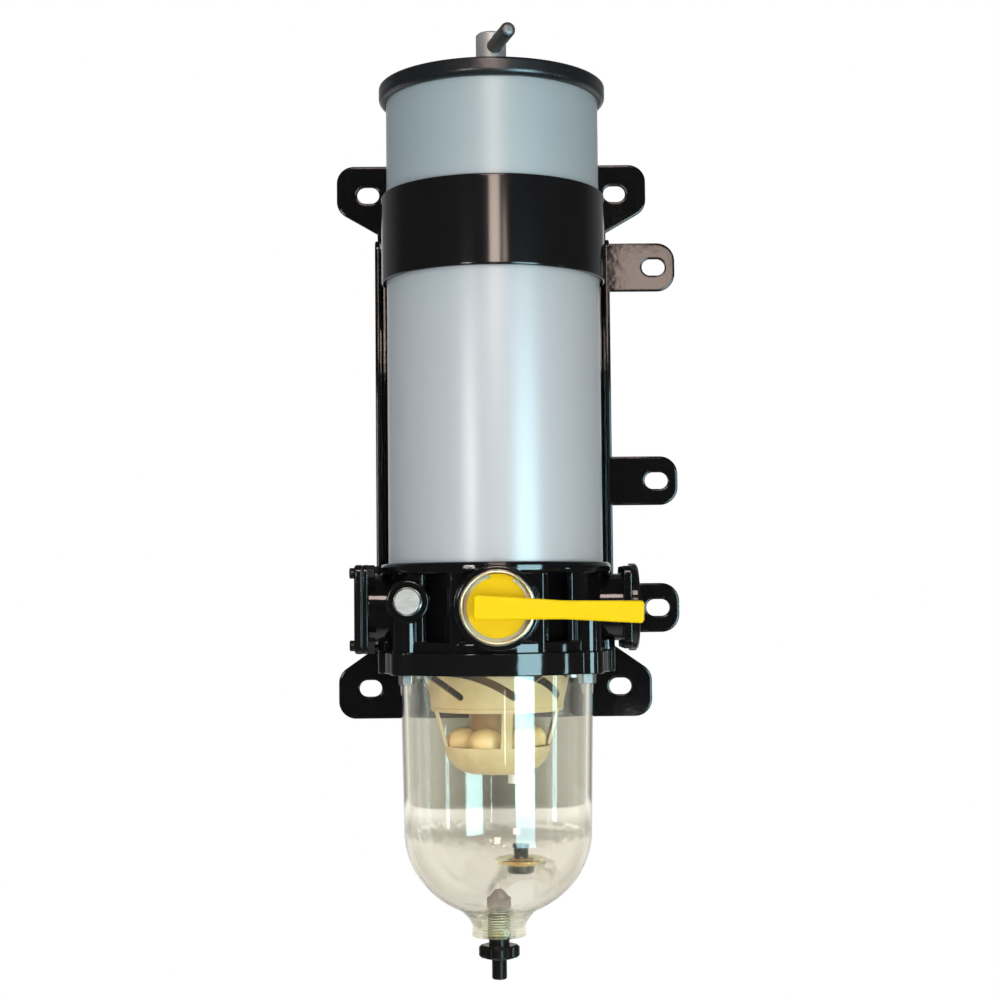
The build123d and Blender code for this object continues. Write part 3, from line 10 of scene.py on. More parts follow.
import bmesh
import bpy
from mathutils import Matrix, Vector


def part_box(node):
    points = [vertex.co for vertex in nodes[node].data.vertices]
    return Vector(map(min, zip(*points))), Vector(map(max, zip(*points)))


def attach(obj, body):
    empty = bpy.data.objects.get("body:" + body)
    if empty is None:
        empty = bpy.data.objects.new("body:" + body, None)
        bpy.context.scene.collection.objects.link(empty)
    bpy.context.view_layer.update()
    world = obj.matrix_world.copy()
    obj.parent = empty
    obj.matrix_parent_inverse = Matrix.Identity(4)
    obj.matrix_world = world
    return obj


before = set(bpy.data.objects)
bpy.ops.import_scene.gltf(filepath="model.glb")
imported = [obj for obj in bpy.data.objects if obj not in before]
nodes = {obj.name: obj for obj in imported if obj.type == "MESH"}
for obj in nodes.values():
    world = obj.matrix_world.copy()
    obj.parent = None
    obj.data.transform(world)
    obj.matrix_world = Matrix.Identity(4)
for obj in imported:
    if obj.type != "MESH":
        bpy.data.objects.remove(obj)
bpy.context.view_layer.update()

# %% [markdown]
# ## Camera
# The photograph was taken from about a metre away, a little below the middle of the object and
# tilted up by 3 degrees. The focal length is worked out in pixels of a picture 1000 wide, then turned
# into millimetres for Blender's 36 mm sensor. It stood a centimetre to the left of the can's axis and
# turned back a little, because the wall bracket shows further left than the can does. The object
# leans by half a degree in the picture, so the camera is rolled by that much rather than the object,
# which never moves.

# %% Camera at the photograph's viewpoint
AXIS_Y = -0.084                   # the can's axis stands this far in front of the wall, at x = 0
PICTURE = 1000
FOCAL = 1790                      # in pixels of that picture
CAMERA_AT = (-0.0097, AXIS_Y - 1.047, -0.0985)
TURN, TILT, ROLL = -0.685, 3.04, -0.54      # degrees
LIGHT_BOUNCES = 24                # a ray crosses the bowl's wall four times before it is through

scene = bpy.context.scene
camera_data = bpy.data.cameras.new("photo_camera")
camera_data.sensor_width = 36
camera_data.lens = 36 * FOCAL / PICTURE
camera = bpy.data.objects.new("photo_camera", camera_data)
camera.location = CAMERA_AT
turn = Matrix.Rotation(math.radians(TURN), 4, "Z")
tilt = Matrix.Rotation(math.radians(90 + TILT), 4, "X")
roll = Matrix.Rotation(math.radians(ROLL), 4, "Z")
camera.rotation_euler = (turn @ tilt @ roll).to_euler()
scene.collection.objects.link(camera)
scene.camera = camera
scene.view_settings.view_transform = "Standard"
scene.cycles.max_bounces = scene.cycles.transmission_bounces = LIGHT_BOUNCES
print("lens, mm:", round(camera_data.lens, 1))

# %% [markdown]
# ## Writing shader maths as Python
# A material's pattern is arithmetic on positions: distances, waves, masks. In the node editor each
# plus sign is a Math node. `Shade` wraps one socket and overloads the operators, so an expression
# such as `1 - mask * 0.5` adds those nodes by itself.

# %% Shade: a socket with arithmetic
class Shade:
    def __init__(self, wiring, socket):
        self.wiring, self.socket = wiring, socket

    def maths(self, operation, *values):
        return self.wiring.node("ShaderNodeMath", {"operation": operation}, values)

    def __add__(self, other):
        return self.maths("ADD", self, other)

    def __sub__(self, other):
        return self.maths("SUBTRACT", self, other)

    def __rsub__(self, other):
        return self.maths("SUBTRACT", other, self)

    def __mul__(self, other):
        return self.maths("MULTIPLY", self, other)

    def __truediv__(self, other):
        return self.maths("DIVIDE", self, other)

    def __lt__(self, other):
        return self.maths("LESS_THAN", self, other)

    def __gt__(self, other):
        return self.maths("GREATER_THAN", self, other)

    __radd__, __rmul__ = __add__, __mul__

    def shaped(self, operation, *values):
        """An operation that has no sign of its own, such as SINE, ABSOLUTE or MAXIMUM."""
        return self.maths(operation, self, *values)

    def between(self, low, high):
        """0 below low, 1 above high and a smooth rise between them."""
        return self.wiring.node("ShaderNodeMapRange", {"interpolation_type": "SMOOTHSTEP"},
                                {"Value": self, "From Min": low, "From Max": high})


# %% [markdown]
# ## Wiring a node tree
# Materials and the world are both node trees. One method, `node`, adds any node: its settings first,
# such as a ramp's stops, then the values or links of its sockets. The patterns that most finishes
# need, such as a place on the piece or a noise, are short methods on top of it.

# %% Wiring: a node tree and what is added to it
class Wiring:
    def __init__(self, tree):
        self.tree = tree

    def feed(self, socket, value):
        if isinstance(value, Shade):
            self.tree.links.new(value.socket, socket)
        elif isinstance(value, tuple) and socket.type == "RGBA":
            socket.default_value = (*value, 1)
        else:
            socket.default_value = value

    def node(self, kind, settings=None, values=(), output=0):
        made = self.tree.nodes.new(kind)
        for key, value in (settings or {}).items():
            if key == "stops":
                while len(made.color_ramp.elements) < len(value):
                    made.color_ramp.elements.new(1)
                for element, (position, colour) in zip(made.color_ramp.elements, value):
                    element.position = position
                    element.color = (*colour, 1)
            else:
                setattr(made, key, value)
        for key, value in values.items() if isinstance(values, dict) else enumerate(values):
            self.feed(made.inputs[key], value)
        return Shade(self, made.outputs[output])

    def place(self, axis, space="Object"):
        """The X, Y or Z of a point on the piece, in metres."""
        spot = self.node("ShaderNodeTexCoord", output=space)
        return self.node("ShaderNodeSeparateXYZ", values=[spot], output=axis)

    def from_axis(self, x, y):
        """The distance of a point from the upright axis at x, y."""
        across, along = self.place("X") - x, self.place("Y") - y
        return (across * across + along * along).shaped("POWER", 0.5)

    def noise(self, scale, detail=2.0, roughness=0.5, stretch=(1, 1, 1)):
        """Noise from 0 to 1, with this many grains to the metre."""
        spot = self.node("ShaderNodeTexCoord", output="Object")
        spot = self.node("ShaderNodeVectorMath", {"operation": "MULTIPLY"}, [spot, stretch])
        values = {"Vector": spot, "Scale": scale, "Detail": detail, "Roughness": roughness}
        return self.node("ShaderNodeTexNoise", {}, values)

    def mix(self, share, first, second):
        values = {0: share, 6: first, 7: second}
        return self.node("ShaderNodeMix", {"data_type": "RGBA"}, values, output=2)

    def ramp(self, value, *stops):
        return self.node("ShaderNodeValToRGB", {"stops": stops}, [value])

    def ray(self, kind):
        """1 for rays of this kind, such as Is Camera Ray."""
        return self.node("ShaderNodeLightPath", output=kind)

    def switch(self, share, first, second):
        return self.node("ShaderNodeMixShader", values=[share, first, second])


# %% [markdown]
# ## A finish
# A finish is one named material. Its Principled shader takes plain numbers for what is the same all
# over, and `Shade` values for what varies. Sharp edges of painted and cast metal are round in truth;
# a Bevel node bends the light there as a real radius does, without touching the CAD mesh.

# %% Finish: a named material
class Finish(Wiring):
    def __init__(self, name, **fixed):
        self.material = bpy.data.materials.new(name)
        self.material.use_nodes = True
        super().__init__(self.material.node_tree)
        self.shader = self.tree.nodes["Principled BSDF"]
        self.output = self.tree.nodes["Material Output"]
        self.set(**fixed)

    def set(self, **values):
        for socket, value in values.items():
            self.feed(self.shader.inputs[socket.replace("_", " ")], value)

    def bump(self, height, depth, edge=0.0):
        """Raises the surface by up to depth metres and rounds its edges to this radius."""
        values = {"Distance": depth, "Height": height}
        if edge:
            values["Normal"] = self.node("ShaderNodeBevel", {"samples": 8}, {"Radius": edge})
        self.set(Normal=self.node("ShaderNodeBump", {}, values))

    def wear(self, *names):
        """Gives this finish to CAD nodes or pieces."""
        for name in names:
            piece = nodes.get(name) or bpy.data.objects[name]
            piece.data.materials.clear()
            piece.data.materials.append(self.material)
        print(self.material.name, "on", ", ".join(names))


# %% [markdown]
# ## From bmesh to a piece
# Every new piece is built with bmesh operators and then becomes one object. The object stays at the
# origin, so its own coordinates are those of the whole part.

# %% Making a piece
def make_piece(name, shape):
    mesh = bpy.data.meshes.new(name)
    shape.to_mesh(mesh)
    shape.free()
    piece = bpy.data.objects.new(name, mesh)
    scene.collection.objects.link(piece)
    return piece


# %% [markdown]
# ## Floor
# The unit hangs on a wall, so the floor is a pale round sheet a little way below it, which fades
# into a white surround. The clear bowl bends the light, so through its lower part the eye sees the
# floor and the room's darker far edge. That is what draws the bowl, so rays that pass through it
# meet painted rings here, by their distance from the object: a grey ring of painted shade and a
# straw-white ring of painted light.

# %% Floor and its painted rings of light and shade
FLOOR_Z = -0.45
FLOOR_R = 1.94

shape = bmesh.new()
bmesh.ops.create_circle(shape, cap_ends=True, segments=128, radius=FLOOR_R)
bmesh.ops.translate(shape, verts=shape.verts, vec=(0, AXIS_Y, FLOOR_Z))
piece = make_piece("floor", shape)
floor = Finish("floor_white", Base_Color=(0.86, 0.86, 0.85), Roughness=0.9)
distance = floor.from_axis(0, AXIS_Y)
# Painted light and shade for rays through the bowl: the grey ring is painted shade, the straw-white ring
# painted light.
painted_light_and_shade_rings = floor.ramp(
    distance / FLOOR_R, (0.0, (0.84, 0.80, 0.73)), (0.66, (0.82, 0.78, 0.71)), (0.76, (0.62, 0.59, 0.52)),
    (0.80, (0.46, 0.44, 0.38)), (0.84, (0.46, 0.44, 0.38)), (0.90, (0.80, 0.78, 0.71)),
    (0.94, (1.0, 0.98, 0.92)), (0.985, (1.0, 0.98, 0.92)), (1.0, (0.42, 0.40, 0.35)))
print("floor at z, mm:", round(1000 * FLOOR_Z))

# %% [markdown]
# ## What each ray sees of the floor
# The camera sees it fade into white. Mirrored rays meet painted reflections, which glow: a pale spot
# under the object, black round it, a pale field behind, and in front a wedge of painted daylight
# where the window would shine on the floor.

# %% The floor's painted light and painted reflections
WINDOW_AZIMUTH = 32               # degrees to the right of the front, where the window stands
# The wedge is painted daylight: a glowing colour on the floor, not a lamp.
WEDGE_SPREAD = 0.207              # half width of the daylight per metre from the object
SPOT_EDGE = (0.09, 0.22)
FIELD_EDGE = (0.15, 0.60)
WEDGE_START = (0.72, 0.90)
FADE_TO_WHITE = (0.30, 0.50)

seen, through, mirrored = (floor.ray(f"Is {kind} Ray") for kind in ("Camera", "Transmission", "Glossy"))
across, along = floor.place("X"), floor.place("Y") - AXIS_Y
turn_cos, turn_sin = math.cos(math.radians(WINDOW_AZIMUTH)), math.sin(math.radians(WINDOW_AZIMUTH))
ahead = across * turn_sin - along * turn_cos
aside = (across * turn_cos + along * turn_sin).shaped("ABSOLUTE")
painted_daylight_wedge = (aside < ahead * WEDGE_SPREAD) * ahead.between(*WEDGE_START)
# Painted reflections for mirrored rays, then the glowing wedge of painted window light on top.
painted_reflection = floor.mix(distance.between(*SPOT_EDGE), (0.70, 0.70, 0.68), (0.05, 0.05, 0.05))
painted_reflection = floor.mix(along.between(*FIELD_EDGE), painted_reflection, (0.85, 0.85, 0.83))
painted_reflection = floor.mix(painted_daylight_wedge, painted_reflection, (6.5, 11.5, 13.0))
colour = floor.mix(mirrored, (1.0, 1.0, 1.0), painted_reflection)
glow = floor.node("ShaderNodeEmission", values={"Color": floor.mix(through, colour, painted_light_and_shade_rings)})
glows = seen * distance.between(*FADE_TO_WHITE)
glows = glows.shaped("MAXIMUM", through).shaped("MAXIMUM", mirrored)
plain_floor = Shade(floor, floor.shader.outputs[0])
floor.feed(floor.output.inputs["Surface"], floor.switch(glows, plain_floor, glow))
floor.wear("floor")

# %% [markdown]
# ## The room
# The camera sees a white surround. Reflections see a darker room, because gloss black paint shows its
# shape only by a few bright things in the dark. Both are one world whose colour depends on which kind
# of ray asks, so matt surfaces still get an even, plain light.

# %% World
ROOM_DIFFUSE = 0.42
world = bpy.data.worlds.new("room")
scene.world = world
world.use_nodes = True
room = Wiring(world.node_tree)
forward = room.place("Y", "Generated") * 0.5 + 0.5


def backdrop(colour, strength=1.0):
    return room.node("ShaderNodeBackground", values={"Color": colour, "Strength": strength})


plain = backdrop((0.97, 0.99, 1.0), ROOM_DIFFUSE)
dark = backdrop(room.ramp(
    forward, (0.0, (0.02, 0.02, 0.02)), (0.65, (0.05, 0.05, 0.05)), (0.80, (0.20, 0.20, 0.21)),
    (0.95, (0.28, 0.28, 0.29)), (0.985, (0.9, 0.9, 0.88))))
behind = backdrop(room.ramp(
    forward, (0.0, (1.0, 1.0, 0.96)), (0.88, (1.25, 1.23, 1.12)), (0.915, (0.85, 0.84, 0.78)),
    (0.965, (0.41, 0.395, 0.345)), (1.0, (0.38, 0.37, 0.32))))
shown = room.switch(room.ray("Is Glossy Ray"), plain, dark)
shown = room.switch(room.ray("Is Transmission Ray"), shown, behind)
shown = room.switch(room.ray("Is Camera Ray"), shown, backdrop((1.0, 1.0, 1.0)))
room.feed(world.node_tree.nodes["World Output"].inputs["Surface"], shown)
print("world for matt surfaces:", ROOM_DIFFUSE)

# %% [markdown]
# ## Painted shade behind the bowl
# Through the middle of the real bowl the wall behind it looks darker than at its sides, and the dark
# fades out downwards. A sheet behind the object paints that dark in as painted shade: a Transparent
# shader whose colour darkens what is seen through it, and only for rays that have come through the
# bowl.

# %% Painted shade sheet
SHADE_SHEET_HALF = 0.056
SHADE_SHEET_LOW, SHADE_SHEET_HIGH = -0.275, -0.150
SHADE_SHEET_Y = 0.012                   # just behind the wall's plane
DARK_EDGE = (-0.2335, -0.2300)    # the dark part ends here
SHADE_SHEET_FADE = (-0.272, -0.240)
NO_TINT = (1.0, 1.0, 1.0)

shape = bmesh.new()
bmesh.ops.create_grid(shape, x_segments=1, y_segments=1, size=1)
bmesh.ops.scale(shape, verts=shape.verts, vec=(SHADE_SHEET_HALF, (SHADE_SHEET_HIGH - SHADE_SHEET_LOW) / 2, 1))
upright = Matrix.Rotation(math.pi / 2, 3, "X")
bmesh.ops.rotate(shape, verts=shape.verts, cent=(0, 0, 0), matrix=upright)
bmesh.ops.translate(shape, verts=shape.verts, vec=(0, SHADE_SHEET_Y, (SHADE_SHEET_HIGH + SHADE_SHEET_LOW) / 2))
piece = make_piece("painted_shade_sheet", shape)

shade_sheet = Finish("painted_shade_glass")
outward = shade_sheet.place("X").shaped("ABSOLUTE") / SHADE_SHEET_HALF
height = shade_sheet.place("Z")
# Painted shade: darkest in the middle, fading out to the sides and downwards.
upper_painted_shade = shade_sheet.ramp(outward, (0.0, (0.20, 0.205, 0.17)), (0.50, (0.64, 0.65, 0.56)),
                        (0.78, (0.98, 0.98, 0.93)), (1.0, NO_TINT))
lower_painted_shade = shade_sheet.ramp(outward, (0.0, (0.62, 0.62, 0.60)), (0.60, (0.88, 0.87, 0.85)),
                        (1.0, NO_TINT))
painted_shade_tint = shade_sheet.mix(height.between(*DARK_EDGE), lower_painted_shade, upper_painted_shade)
painted_shade_tint = shade_sheet.mix(height.between(*SHADE_SHEET_FADE), NO_TINT, painted_shade_tint)
painted_shade_tint = shade_sheet.mix(shade_sheet.ray("Is Transmission Ray"), NO_TINT, painted_shade_tint)
painted_shade_filter = shade_sheet.node("ShaderNodeBsdfTransparent", values={"Color": painted_shade_tint})
shade_sheet.feed(shade_sheet.output.inputs["Surface"], painted_shade_filter)
shade_sheet.wear("painted_shade_sheet")

# %% [markdown]
# ## Lamps
# Each bright shape in the photographed paint is a thing in the room: a tall window at the right, warm
# lamps above the photographer, a board at the left. They are upright area lamps, placed by the angle
# at which they are reflected. A reflector is seen by shiny surfaces alone and a soft light by matt
# ones, so each can be set without the other.

# %% Lamps
def lamp(name, azimuth, distance, low, high, width, radiance, colour, seen_by="gloss"):
    """An upright area lamp between two heights, at this azimuth in degrees to the right of the front
    and this distance from the can's axis. radiance is how bright its face looks, 1 being white."""
    data = bpy.data.lights.new(name, "AREA")
    data.shape = "RECTANGLE"
    data.size, data.size_y = width, high - low
    data.energy = radiance * width * (high - low) * math.pi
    data.color = colour
    made = bpy.data.objects.new(name, data)
    angle = math.radians(azimuth)
    made.location = (distance * math.sin(angle), AXIS_Y - distance * math.cos(angle), (low + high) / 2)
    made.rotation_euler = (math.radians(90), 0, angle)
    made.visible_diffuse = seen_by == "matt"
    made.visible_glossy = made.visible_transmission = seen_by == "gloss"
    scene.collection.objects.link(made)
    return made


lamp("window", WINDOW_AZIMUTH, 1.5, -1.05, 0.20, 0.62, 14.0, (0.53, 0.86, 0.96))
lamp("window_gap", 8.4, 1.5, -0.385, -0.287, 0.022, 10.0, (1.0, 1.0, 0.94))
lamp("warm_patch", 1, 1.05, 0.19, 0.40, 0.18, 13.0, (1.0, 0.82, 0.70))
lamp("warm_bar", 0, 1.05, 0.54, 0.88, 0.42, 13.0, (1.0, 0.80, 0.74))
lamp("warm_corner", 10.9, 1.067, 0.24, 0.335, 0.080, 7.5, (1.0, 0.79, 0.68))
lamp("side_strip", 72, 1.5, -0.90, -0.16, 0.08, 12.0, (0.6, 0.9, 1.0))
lamp("warm_board", -26, 1.5, -0.06, 0.20, 0.24, 21.0, (1.0, 0.95, 0.90))
lamp("soft_front", 6, 1.05, -0.85, -0.10, 0.90, 4.5, (1.0, 0.99, 0.98), seen_by="matt")
lamp("soft_upper", 2, 1.05, 0.10, 0.75, 0.90, 1.35, (1.0, 0.99, 0.98), seen_by="matt")
overhead = lamp("overhead", 0, 0.5, 1.0, 2.0, 1.2, 0.7, (1.0, 1.0, 1.0), seen_by="matt")
overhead.rotation_euler = (math.radians(25), 0, 0)
print("lamps:", len(bpy.data.lights))

# %% [markdown]
# ## Bracket and lid
# Both are pressed from sheet steel under black paint, glossy on the bracket and nearer to satin on the
# lid. Orange peel is a soft noise of about 4 mm waves: too faint to see as a shape, but it makes the
# edges of a reflection wander, as on real paint. Handling leaves fine hazy rubs, so the roughness
# wanders as well.

# %% Black sheet paint
BLACK = (0.0065, 0.0065, 0.007)

sheet_paint = Finish("gloss_black_sheet", IOR=1.5)
rubs = sheet_paint.noise(140, 4.0, 0.7, stretch=(1, 1, 0.6)).between(0.50, 0.75)
sheet_paint.set(Base_Color=sheet_paint.mix(rubs, BLACK, (0.009, 0.008, 0.007)),
                Roughness=0.06 + rubs * 0.02)
orange_peel = sheet_paint.noise(230, 1.0) + sheet_paint.noise(900, 1.0) * 0.12
sheet_paint.bump(orange_peel, 0.00002, edge=0.0016)
sheet_paint.wear("mounting_bracket")

lid_paint = Finish("gloss_black_lid", IOR=1.5)
dust = lid_paint.noise(90, 3.0, 0.6)
lid_paint.set(Base_Color=lid_paint.mix(dust, (0.010, 0.012, 0.014), (0.016, 0.019, 0.022)),
              Roughness=0.24 + dust * 0.08)
lid_paint.bump(lid_paint.noise(260, 1.0), 0.00005, edge=0.0012)
lid_paint.wear("lid")

# %% [markdown]
# ## Clamp band
# A strip of sheet bent round the can. Its paint is a little softer than the bracket's, and rolling
# leaves long shallow waves along the strip, so the one bright patch in it has ragged edges.

# %% Clamp band paint
band_paint = Finish("gloss_black_band", IOR=1.5)
rolled = band_paint.noise(60, 1.0, stretch=(1, 1, 0.3))
band_paint.set(Base_Color=band_paint.mix(rolled, BLACK, (0.009, 0.009, 0.010)),
               Roughness=0.11 + rolled * 0.04)
band_paint.bump(rolled, 0.00012, edge=0.0012)
band_paint.wear("clamp_band")

# %% [markdown]
# ## Castings
# Head, cover, port flange and bowl ring are cast or machined aluminium under the same black. Sand and
# paint leave a grain of about 5 mm under the gloss. The ring round the valve is turned bare, so the
# head's finish swaps paint for metal inside a circle about the valve's axis, with fine turning lines.

# %% Painted castings
VALVE_Z = -0.1055
LIP_R = 0.02085
LIP_BACK = -0.1545                # the bare metal lies in front of this Y
TURNING_WAVES = 5200              # radians of turning lines per metre of radius


def cast_peel(finish):
    return finish.noise(180, 1.5) + finish.noise(1200, 2.0) * 0.15


casting = Finish("gloss_black_casting", IOR=1.5)
grain = cast_peel(casting)
casting.set(Base_Color=casting.mix(grain, BLACK, (0.009, 0.009, 0.009)),
            Roughness=0.06 + grain * 0.03)
casting.bump(grain, 0.00005, edge=0.001)
casting.wear("inlet_cover", "outlet_flange", "bowl_ring")

head = Finish("gloss_black_head", IOR=1.5)
x, y, z = (head.place(axis) for axis in "XYZ")
rise = z - VALVE_Z
from_valve = (x * x + rise * rise).shaped("POWER", 0.5)
lip = (from_valve < LIP_R) * (y < LIP_BACK)
turning = (from_valve * TURNING_WAVES).shaped("SINE")
worn = head.noise(900, 3.0)
head.set(Base_Color=head.mix(lip, BLACK, (0.84, 0.72, 0.50)), Metallic=lip,
         Roughness=0.07 + lip * (0.17 + worn * 0.15))
head.bump(cast_peel(head) * (1 - lip) + turning * lip * 0.25, 0.00005, edge=0.001)
head.wear("head_casting")

# %% [markdown]
# ## Black screws
# Steel screws with a thin black oxide: darker and duller than paint, with a metal's sheen on edges.

# %% Black screws
black_screws = Finish("black_screw_steel", Metallic=0.4)
oxide = black_screws.noise(1500, 2.0)
black_screws.set(Base_Color=black_screws.mix(oxide, (0.010, 0.010, 0.011), (0.020, 0.020, 0.020)),
                 Roughness=0.25 + oxide * 0.1)
black_screws.bump(oxide, 0.00003)
black_screws.wear("clamp_screws", "inlet_screws", "inlet_nuts", "outlet_screws")

# %% [markdown]
# ## The can
# A satin, pale blue-grey paint. Its long highlights are soft, so it is rougher than the black, with
# a thin clear layer over it. Its colour is painted a little darker towards the lid and lighter lower
# down: painted shade under the lid's rim and painted light from below. The slight streaks of a
# sprayed tube keep it from looking like plastic.

# %% Can paint
can_paint = Finish("satin_blue_grey_paint", Coat_Weight=0.8, Coat_Roughness=0.27, Coat_IOR=1.5, IOR=1.45)
streaks = can_paint.noise(60, 3.0, stretch=(1, 1, 0.12))
fleck = can_paint.noise(2600, 1.0)
# Painted shade towards the lid and painted light lower down: two copies of the same paint.
towards_lid_shade = can_paint.place("Z").between(0.04, 0.17)
lit_lower_coat = can_paint.mix(streaks, (0.500, 0.550, 0.585), (0.530, 0.580, 0.615))
shaded_upper_coat = can_paint.mix(streaks, (0.345, 0.440, 0.475), (0.370, 0.465, 0.500))
can_paint.set(Base_Color=can_paint.mix(towards_lid_shade, lit_lower_coat, shaded_upper_coat), Roughness=0.42 + fleck * 0.08)
can_paint.bump(can_paint.noise(500, 2.0), 0.00002)
can_paint.wear("can")

# %% [markdown]
# ## Zinc-plated parts
# Bright plate with a mottled grain and scuffs. The noise is stretched, so the scuffs run one way.

# %% Zinc plate
zinc = Finish("zinc_plate", Metallic=1.0)
mottle = zinc.noise(420, 4.0, 0.65)
scuffs = zinc.noise(900, 3.0, 0.6, stretch=(1, 1, 3))
patches = mottle.between(0.35, 0.65)
zinc.set(Base_Color=zinc.mix(patches, (0.60, 0.59, 0.57), (0.92, 0.91, 0.88)),
         Roughness=0.22 + scuffs * 0.3)
zinc.bump(mottle + scuffs * 0.5, 0.00012)
zinc.wear("head_screws", "handle_washer", "cartridge_core", "turbine_screws")

# %% [markdown]
# ## Steel parts
# Drawn steel shows lines along its length, so its noise is stretched up and down. Where a piece was
# turned or plated, the noise is even or runs the other way. One function makes all of them, because
# they differ only in how dark and how dull they are: the T-handle is a dull grey, its pin nearly
# black, and the circlip is a warm phosphated brown.

# %% Steels
ALONG_Z = (1, 1, 0.15)
ALONG_X = (0.12, 1, 1)
EVEN = (1, 1, 1)


def metal(name, dark_tone, light_tone, rough, *worn_by, scale=700, stretch=ALONG_Z, metallic=1.0):
    made = Finish(name, Metallic=metallic)
    lines = made.noise(scale, 3.0, stretch=stretch)
    made.set(Base_Color=made.mix(lines, dark_tone, light_tone), Roughness=rough + lines * 0.18)
    made.bump(lines, 0.00004)
    made.wear(*worn_by)
    return made


metal("drawn_steel", (0.42, 0.42, 0.42), (0.62, 0.62, 0.61), 0.28,
      "valve_rotor", "cartridge_bails", "check_ball")
metal("dark_pin_steel", (0.14, 0.145, 0.145), (0.23, 0.235, 0.23), 0.40,
      "t_handle_pin", scale=160, stretch=EVEN, metallic=0.85)
metal("dull_steel", (0.46, 0.46, 0.455), (0.58, 0.58, 0.575), 0.44,
      "t_handle", scale=500, metallic=0.45)
metal("phosphated_spring_steel", (0.38, 0.30, 0.19), (0.56, 0.46, 0.30), 0.38,
      "valve_circlip", scale=2500, stretch=EVEN)
probe_steel = metal("probe_steel", (0.03, 0.03, 0.027), (0.11, 0.11, 0.095), 0.25,
                    "water_probe", scale=1500, stretch=EVEN)
metal("dull_zinc", (0.36, 0.36, 0.35), (0.60, 0.60, 0.58), 0.30,
      "ring_bolts", stretch=EVEN)
metal("brushed_zinc", (0.74, 0.73, 0.70), (1.0, 0.99, 0.96), 0.24,
      "side_plug", "side_plug_washer", scale=1500, stretch=ALONG_X)
metal("drawn_aluminium", (0.75, 0.75, 0.75), (0.85, 0.85, 0.85), 0.30,
      "return_tube", scale=500)

# %% [markdown]
# ## Yellow lever
# Hub and lever are one moulding in a strong yellow with a fine satin skin. Its gloss is kept low,
# or white reflections would turn the yellow chalky.

# %% Yellow plastic
yellow = Finish("yellow_plastic", Specular_IOR_Level=0.1)
cloud = yellow.noise(90, 2.0)
yellow.set(Base_Color=yellow.mix(cloud, (0.93, 0.65, 0.002), (0.98, 0.71, 0.003)),
           Roughness=0.18 + cloud * 0.08)
yellow.bump(yellow.noise(1500, 2.0), 0.00002)
yellow.wear("valve_handle")

# %% [markdown]
# ## Beige mouldings
# The swirl cone, cage and cup are beige, with cloudy flow marks where the plastic ran in the mould.
# The cone's inside, which shows in its slots, is painted dark as painted shade: a mask on the
# distance from the axis, less the cone's own radius at that height, finds it. The lobed diffuser is
# warmer, and its inner tube is painted browner still, as painted shade under the cup.

# %% Beige and peach plastic
CONE_LOW_R, CONE_LOW_Z = 0.0381, -0.164     # the cone's radius at this height
CONE_SLOPE = 0.0074 / 0.0335                # and how much it widens upwards
SHADE_EDGE = (-0.0006, -0.0016)             # outside and inside of the cone's wall
TUBE_R = 0.0168

beige = Finish("beige_plastic", IOR=1.5)
flow = beige.noise(70, 3.0, 0.6)
outside = beige.mix(flow.between(0.3, 0.7), (0.56, 0.42, 0.21), (0.65, 0.51, 0.28))
beige.set(Base_Color=outside, Roughness=0.38 + flow * 0.12)
beige.bump(beige.noise(900, 2.0), 0.00002)
beige.wear("turbine_cage")

swirl = Finish("beige_swirl_plastic", IOR=1.5)
flow = swirl.noise(70, 3.0, 0.6)
cone_r = CONE_LOW_R + (swirl.place("Z") - CONE_LOW_Z) * CONE_SLOPE
# Painted shade: the cone's inside, seen through its slots, is painted dark brown.
inside = (swirl.from_axis(0, AXIS_Y) - cone_r).between(*SHADE_EDGE)
outside = swirl.mix(flow.between(0.3, 0.7), (0.57, 0.42, 0.200), (0.66, 0.505, 0.270))
swirl.set(Base_Color=swirl.mix(inside, outside, (0.13, 0.105, 0.060)), Roughness=0.38 + flow * 0.12)
swirl.bump(swirl.noise(900, 2.0), 0.00002)
swirl.wear("turbine")

peach = Finish("peach_plastic", IOR=1.5)
flow = peach.noise(60, 3.0, 0.6)
# Painted shade: the inner tube under the cup is painted browner than the lobes.
in_tube = peach.from_axis(0, AXIS_Y) < TUBE_R
lobes = peach.mix(flow.between(0.3, 0.7), (0.78, 0.53, 0.22), (0.85, 0.61, 0.28))
tube = peach.mix(flow, (0.31, 0.17, 0.055), (0.40, 0.23, 0.085))
peach.set(Base_Color=peach.mix(in_tube, lobes, tube), Roughness=0.33 + flow * 0.1)
peach.bump(peach.noise(700, 2.0), 0.00002)
peach.wear("turbine_diffuser")

# %% [markdown]
# ## White stub
# The small stub below the cup is white nylon, slightly yellowed.

# %% White plastic
white_plastic = Finish("white_plastic", IOR=1.5)
dulled = white_plastic.noise(300, 2.0)
white_plastic.set(Base_Color=white_plastic.mix(dulled, (0.82, 0.82, 0.78), (0.9, 0.9, 0.87)),
                  Roughness=0.35 + dulled * 0.1)
white_plastic.bump(dulled, 0.00002)
white_plastic.wear("cup_plug")

# %% [markdown]
# ## Black mouldings
# The cartridge's end caps and the probe's tip are black plastic with a matt skin. The drain stem is
# the same plastic, but inside the bowl's neck its thread sits in light that enters all round, so
# there its colour is painted with thin pale and dark lines: painted highlights and painted shade. A
# sine over the height, one wave to a turn, draws those.

# %% Black plastic and drain stem
black_plastic = Finish("black_plastic", IOR=1.5)
skin = black_plastic.noise(2200, 2.0)
tone = black_plastic.mix(skin, (0.010, 0.010, 0.011), (0.018, 0.018, 0.019))
black_plastic.set(Base_Color=tone, Roughness=0.16 + skin * 0.12)
black_plastic.bump(skin, 0.00003)
black_plastic.wear("cartridge_bottom_cap", "cartridge_top_cap", "probe_tip")

